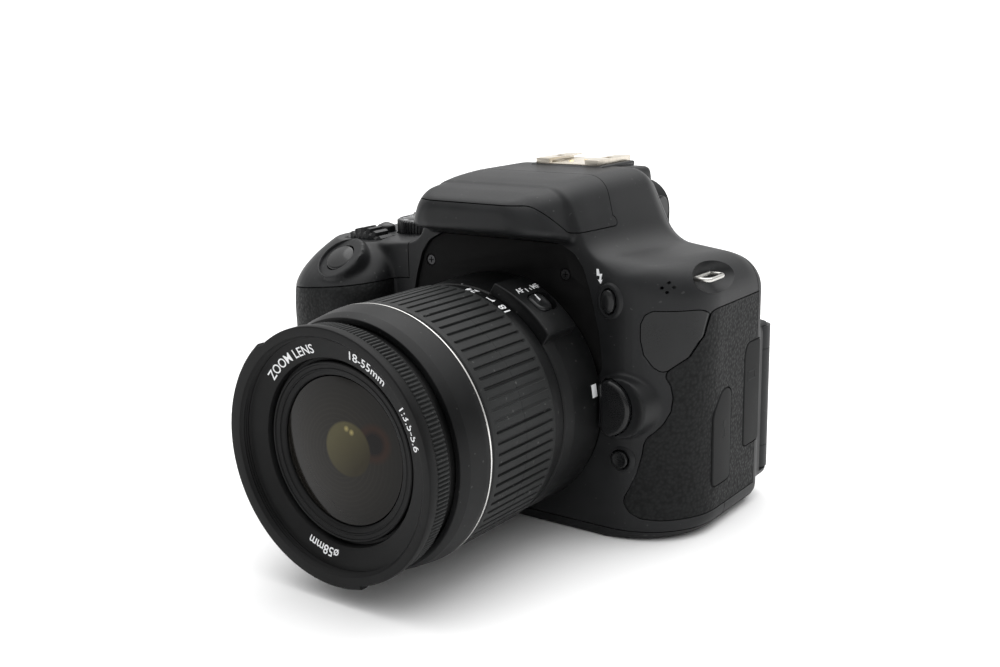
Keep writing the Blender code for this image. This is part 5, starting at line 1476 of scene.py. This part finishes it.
def back_controls():
    x, y = SCREEN_HINGE
    low, high = SCREEN_LOW, SCREEN_HIGH
    column = rod("column", (x, y, low[1] + 0.2), (0, 0, 1), 4.0, high[1] - low[1] - 0.4, 64)
    for z in (low[1] + 7.0, high[1] - 7.0):
        groove = turned("groove", [(3.85, -0.15), (5.0, -0.15), (5.0, 0.15), (3.85, 0.15)], 64,
            centre=(x, y, z), direction=(0, 0, 1))
        column = cut(column, groove)
    dress(shade(column), COVER, "screen", "shell_plastic", ["screen_hinge"])
    near, far = SCREEN_Y
    panel = bevelled(block("panel", (low[0], near, low[1]), (high[0], far, high[1])), 1.1, 4)
    glass_low, glass_high = (low[0] + 3.4, low[1] + 2.0), (high[0] - 3.4, high[1] - 2.0)
    panel = cut(panel, block("window", (glass_low[0] - GAP, near - 1, glass_low[1] - GAP),
        (glass_high[0] + GAP, near + 1.5, glass_high[1] + GAP)))
    # A shallow field on the closed panel's back, and a finger notch at its free edge.
    field = rounded(low[0] + 5, low[1] + 4.5, high[0] - 5, high[1] - 4.5, 3.0, 6)
    panel = cut(panel, prism("field", field, far - 0.3, far + 2),
                ellipsoid("finger", (low[0] - 0.6, far + 0.4, (low[1] + high[1]) / 2),
                (2.2, 2.4, 6.0)))
    dress(shade(panel), COVER, "screen", "shell_plastic", ["screen_panel"])
    inlay = prism("panel_inlay", grown(field, -0.15), far - 0.35, far - 0.08)
    dress(shade(inlay), RUBBER, "screen", "rubber_skin")
    glass = bevelled(block("glass", (glass_low[0], near + 0.1, glass_low[1]),
        (glass_high[0], near + 1.2, glass_high[1])), 0.15, 2)
    dress(shade(glass), SCREEN_GLASS, "screen", "screen_glass", ["screen_glass"])

    for name in ("menu_button", "info_button", "exposure_button", "play_button", "erase_button",
            "lock_button", "focus_point_button"):
        button(name, dome=-0.12, edge=0.35)
    button("live_view_button", dome=-0.2)
    button("set_button", dome=-0.3)
    pad = oval("pad", *BUTTONS["cross_pad"][:3], [
        (0.0, -4.0), (0.0, 0.5), (-0.2, 0.95), (-0.7, 1.2), (-2.0, 1.1), (-4.0, 0.75), (-5.6, 0.6),
        (-6.3, 0.2), (-6.3, -1.0)], 128)
    pad = cut(pad, oval("pad_hole", *BUTTONS["cross_pad"][:2], (4.9, 4.9), [(0, -9), (0, 6)]))
    dress(shade(pad), BUTTON, "cross_pad", "button_plastic", ["cross_pad"])
    cx, cy, cz = BUTTONS["cross_pad"][0]
    for k in range(4):
        a = math.pi / 2 * k
        out = Vector((-math.sin(a), 0, math.cos(a)))
        side = Vector((math.cos(a), 0, math.sin(a)))
        tip = Vector((cx, cy + 1.0, cz)) + out * 8.6
        stamped("pad_arrow", outline_label([(-1.0, -0.6), (0.0, 0.8), (1.0, -0.6)]),
                on_plane(tip, -side, out), WHITE, "cross_pad", "button_plastic", 0.12)
    marks = {
        "play_button": [[(-0.8, -0.9), (1.0, 0.0), (-0.8, 0.9)]],
        "erase_button": [stroke(-0.8, 0.8, 0.8, 0.8, 0.3), stroke(-0.6, -0.9, -0.6, 0.5, 0.3),
        stroke(0.6, -0.9, 0.6, 0.5, 0.3), stroke(-0.7, -0.9, 0.7, -0.9, 0.3)],
        "menu_button": [stroke(-1.2, v, 1.2, v, 0.28) for v in (-0.7, 0.0, 0.7)],
        "info_button": [stroke(0, -0.9, 0, 0.4, 0.4), stroke(0, 0.7, 0, 1.1, 0.4)],
        "exposure_button": [stroke(-1.6, 0, -0.5, 0, 0.3), stroke(0.5, 0, 1.6, 0, 0.3),
        stroke(1.05, -0.55, 1.05, 0.55, 0.3)],
        "lock_button": [[(0.9 * math.cos(a), 0.9 * math.sin(a)) for a in even_angles(16)]],
        "focus_point_button": [stroke(-1.0, 0, 1.0, 0, 0.3), stroke(0, -1.0, 0, 1.0, 0.3)],
    }
    for name, shapes in marks.items():
        centre, _, radii, _, _ = BUTTONS[name]
        at = Vector((centre[0], centre[1] + 0.1, centre[2] + radii[1] + 2.2))
        if name in ("menu_button", "info_button"):
            at.y = BACK_Y
        stamped(name + "_mark", outline_label(*shapes), on_plane(at, (-1, 0, 0), (0, 0, 1)), WHITE,
            "body", "shell_plastic")

    knurled("diopter_wheel", DIOPTER, (1, 0, 0), 4.2, -1.7, 1.7, 30, 0.3, BUTTON, "diopter_knob",
        ["diopter_knob"], half=0.1, slope=0.16)
    cup = bevelled(prism("cup", filleted([
        (-18.6, 69.4, 7.0), (18.6, 69.4, 7.0), (18.6, 91.4, 9.0), (-18.6, 91.4, 9.0)], 12), 58.6,
        66.6), 1.8, 6, 60)
    rings = []
    for y, grow in ((57.0, 0.0), (61.0, 0.0), (63.0, 0.6), (64.6, 1.5), (66.0, 2.6), (67.5, 3.6)):
        opening = rounded(-11.6 - grow, 73.4 - grow * 0.7, 11.6 + grow, 86.8 + grow * 0.7, 3.0, 8)
        rings.append([(u, y, v) for u, v in opening])
    dress(shade(cut(cup, loft("cup_hole", rings))), SOFT_RUBBER, "body", "grip_rubber", ["eyecup"])
    window = bevelled(block("finder_glass", (-11.0, 54.0, 74.0), (11.0, 56.4, 86.0)), 0.8, 4)
    dress(shade(window), FINDER_GLASS, "body", "optical_glass", ["eyepiece_lens"])
    lamp = prism("access_lamp", rounded(-60.6, 17.4, -57.4, 19.0, 0.6, 4), 54.3, 54.75)
    dress(shade(lamp), RED_LAMP, "body", "screen_glass")


def doors_and_base():
    door = bevelled(block("card_flap", (-75.6, 29.4, 16.0), (-74.0, 47.0, 59.0)), 0.5, 3)
    for k in range(6):
        door = cut(door, block("rib_gap", (-76.0, 31.4, 33.4 + k * 1.5),
            (-75.35, 37.0, 34.1 + k * 1.5)))
    dress(shade(door), RUBBER, "card_door", "shell_plastic", ["card_door"])
    hatch = bevelled(block("battery_hatch", (-69.0, -3.6, 0.15), (-46.0, 29.0, 2.4)), 0.4, 2)
    hatch = cut(hatch, prism("latch_dish", rounded(-56.0, 20.6, -49.0, 26.6, 1.5, 5), -1.0, 0.6,
        "Z"))
    dress(shade(hatch), COVER, "battery_door", "shell_plastic", ["battery_door"])
    latch = bevelled(block("battery_latch", (-54.6, 21.6, 0.3), (-51.6, 25.6, 0.9)), 0.2, 2)
    dress(shade(latch), BUTTON, "battery_door", "button_plastic")
    thread = []
    for k in range(8):
        h = 0.6 + k * TRIPOD_PITCH
        thread += [(TRIPOD_BORE, h), (TRIPOD_BORE - 0.4, h + TRIPOD_PITCH / 2)]
    socket = turned("tripod_bush", [
        (SOCKET_RADIUS, 0.15, 0.15), (SOCKET_RADIUS, 3.2), (8.5, 3.2), (8.5, 9.0), (0.0, 9.0),
        (0.0, 7.4), (TRIPOD_BORE, 7.4)]
        + thread[::-1] + [(3.5, 0.15)], 64, 2, centre=(0, SOCKET_Y, 0), direction=(0, 0, 1))
    dress(socket, STEEL, "body", "bright_metal", ["tripod_socket"])


def inner_looks():
    """Better finishes for the CAD pieces that stay in view."""
    looks = {
        "mirror_box": LENS_MATT, "mount_ring": STEEL, "mirror": MIRROR, "pentamirror": FINDER_GLASS,
        "shutter_unit": BLACK_METAL,
        "image_sensor": SENSOR, "main_board": BOARD, "battery": BATTERY, "flash_lamp": LAMP_WINDOW,
    }
    for name, material in looks.items():
        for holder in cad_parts[name].material_slots:
            holder.material = material


SCREEN_GLASS = glassy("screen_glass_look", (0.006, 0.0065, 0.008), 0.04, 0.5)
FINDER_GLASS = glassy("finder_glass", (0.02, 0.022, 0.024), 0.03, 0.5)
SENSOR = glassy("sensor_glass", (0.05, 0.07, 0.06), 0.06, 0.5, tint=(0.10, 0.05, 0.09))
MIRROR = metal("mirror_coat", (0.90, 0.91, 0.92), 0.08)
BOARD = moulded("board_mask", (0.02, 0.13, 0.06), 0.45, grain=0.01, grain_size=0.8, wear=0.0)
BATTERY = moulded("battery_plastic", (0.035, 0.035, 0.04), 0.42, grain=0.008, grain_size=0.3)
LAMP_WINDOW = glassy("lamp_window_look", (0.62, 0.65, 0.68), 0.12, 0.4, tint=(0.75, 0.77, 0.80))
back_controls()
doors_and_base()
inner_looks()


# ---------------------------------------------------------------- floor, light and camera

ROOM_BRIGHT_WAY = (-0.45, 0.80, 0.40)
HORIZON_WAY = (-0.59, 0.81, 0.0)
ROOM_DIM, ROOM_BRIGHT = 0.42, 0.72
ROOF_BRIGHT = 1.0
OVERHEAD_WAY = (-0.05, 0.28, 1.0)      # towards the light
OVERHEAD_STRENGTH, OVERHEAD_WIDTH = 1.7, 70.0
FLOOR_REACH = 40.0


def studio():
    floor_mesh = bpy.data.meshes.new("floor")
    size = FLOOR_REACH
    floor_mesh.from_pydata([(-size, -size, 0), (size, -size, 0), (size, size, 0), (-size, size, 0)],
        [], [(0, 1, 2, 3)])
    floor = new_object("floor", floor_mesh)
    floor.location.z = -0.0002
    paper, _, shader, _ = nodes_of("paper")
    shader.inputs["Base Color"].default_value = (0.93, 0.93, 0.93, 1.0)
    shader.inputs["Roughness"].default_value = 0.9
    shader.inputs["Specular IOR Level"].default_value = 0.0
    floor.data.materials.append(paper)

    # The room is paler behind and above the camera, dim in front of it, and white along the far
    # horizon. The backdrop itself is white from every side.
    world = bpy.data.worlds.new("studio")
    bpy.context.scene.world = world
    world.use_nodes = True
    tree = world.node_tree
    way = add(tree, "ShaderNodeTexCoord").outputs["Generated"]

    def towards(direction):
        facing = add(tree, "ShaderNodeVectorMath", operation="DOT_PRODUCT")
        tree.links.new(way, facing.inputs[0])
        facing.inputs[1].default_value = direction
        return facing.outputs["Value"]

    room = spread(tree, towards(ROOM_BRIGHT_WAY), -0.15, 0.55, ROOM_DIM, ROOM_BRIGHT)
    low = spread(tree, towards((0, 0, 1)), 0.04, 0.16, 1.0, 0.0)
    far = maths(tree, "MULTIPLY", low, spread(tree, towards(HORIZON_WAY), 0.3, 0.8, 0.0, 1.0))
    backdrop = add(tree, "ShaderNodeLightPath").outputs["Is Camera Ray"]
    tree.nodes["Background"].inputs["Color"].default_value = (1.0, 1.0, 1.0, 1.0)
    roof = spread(tree, towards((0, 0, 1)), 0.35, 0.85, 0.0, ROOF_BRIGHT)
    light = maths(tree, "ADD", maths(tree, "ADD", room, roof), far)
    tree.links.new(maths(tree, "ADD", light, backdrop), tree.nodes["Background"].inputs["Strength"])

    sky = bpy.data.lights.new("overhead_softbox", "SUN")
    sky.energy = OVERHEAD_STRENGTH
    sky.angle = math.radians(OVERHEAD_WIDTH)
    holder = new_object("overhead_softbox", sky)
    holder.rotation_euler = Vector(OVERHEAD_WAY).to_track_quat("Z", "Y").to_euler()


CAMERA_AIM = (0.158, 0.0, 53.723)      # where the camera looks, from the mount's face
CAMERA_AZIMUTH, CAMERA_ELEVATION, CAMERA_ROLL = 36.254, 13.683, -1.268
CAMERA_DISTANCE = 348.51
FOCAL_LENGTH = 44.352


def place_camera():
    turns = (CAMERA_AZIMUTH, CAMERA_ELEVATION, CAMERA_ROLL)
    azimuth, elevation, roll = (math.radians(a) for a in turns)
    back = Vector((
        math.sin(azimuth) * math.cos(elevation), -math.cos(azimuth) * math.cos(elevation),
        math.sin(elevation)))
    right = (-back).cross(Vector((0, 0, 1))).normalized()
    up = right.cross(-back)
    right, up = (
        right * math.cos(roll) + up * math.sin(roll), up * math.cos(roll) - right * math.sin(roll))
    data = bpy.data.cameras.new("photo_camera")
    data.lens = FOCAL_LENGTH
    data.sensor_width = 36.0
    data.clip_start = 0.01
    camera = new_object("photo_camera", data)
    place = TO_WORLD @ (Vector(CAMERA_AIM) + back * CAMERA_DISTANCE)
    turned_to = Matrix((right, up, back)).transposed().to_4x4()
    camera.matrix_world = Matrix.Translation(place) @ turned_to
    bpy.context.scene.camera = camera


studio()
place_camera()
bpy.context.scene.view_settings.view_transform = "Standard"
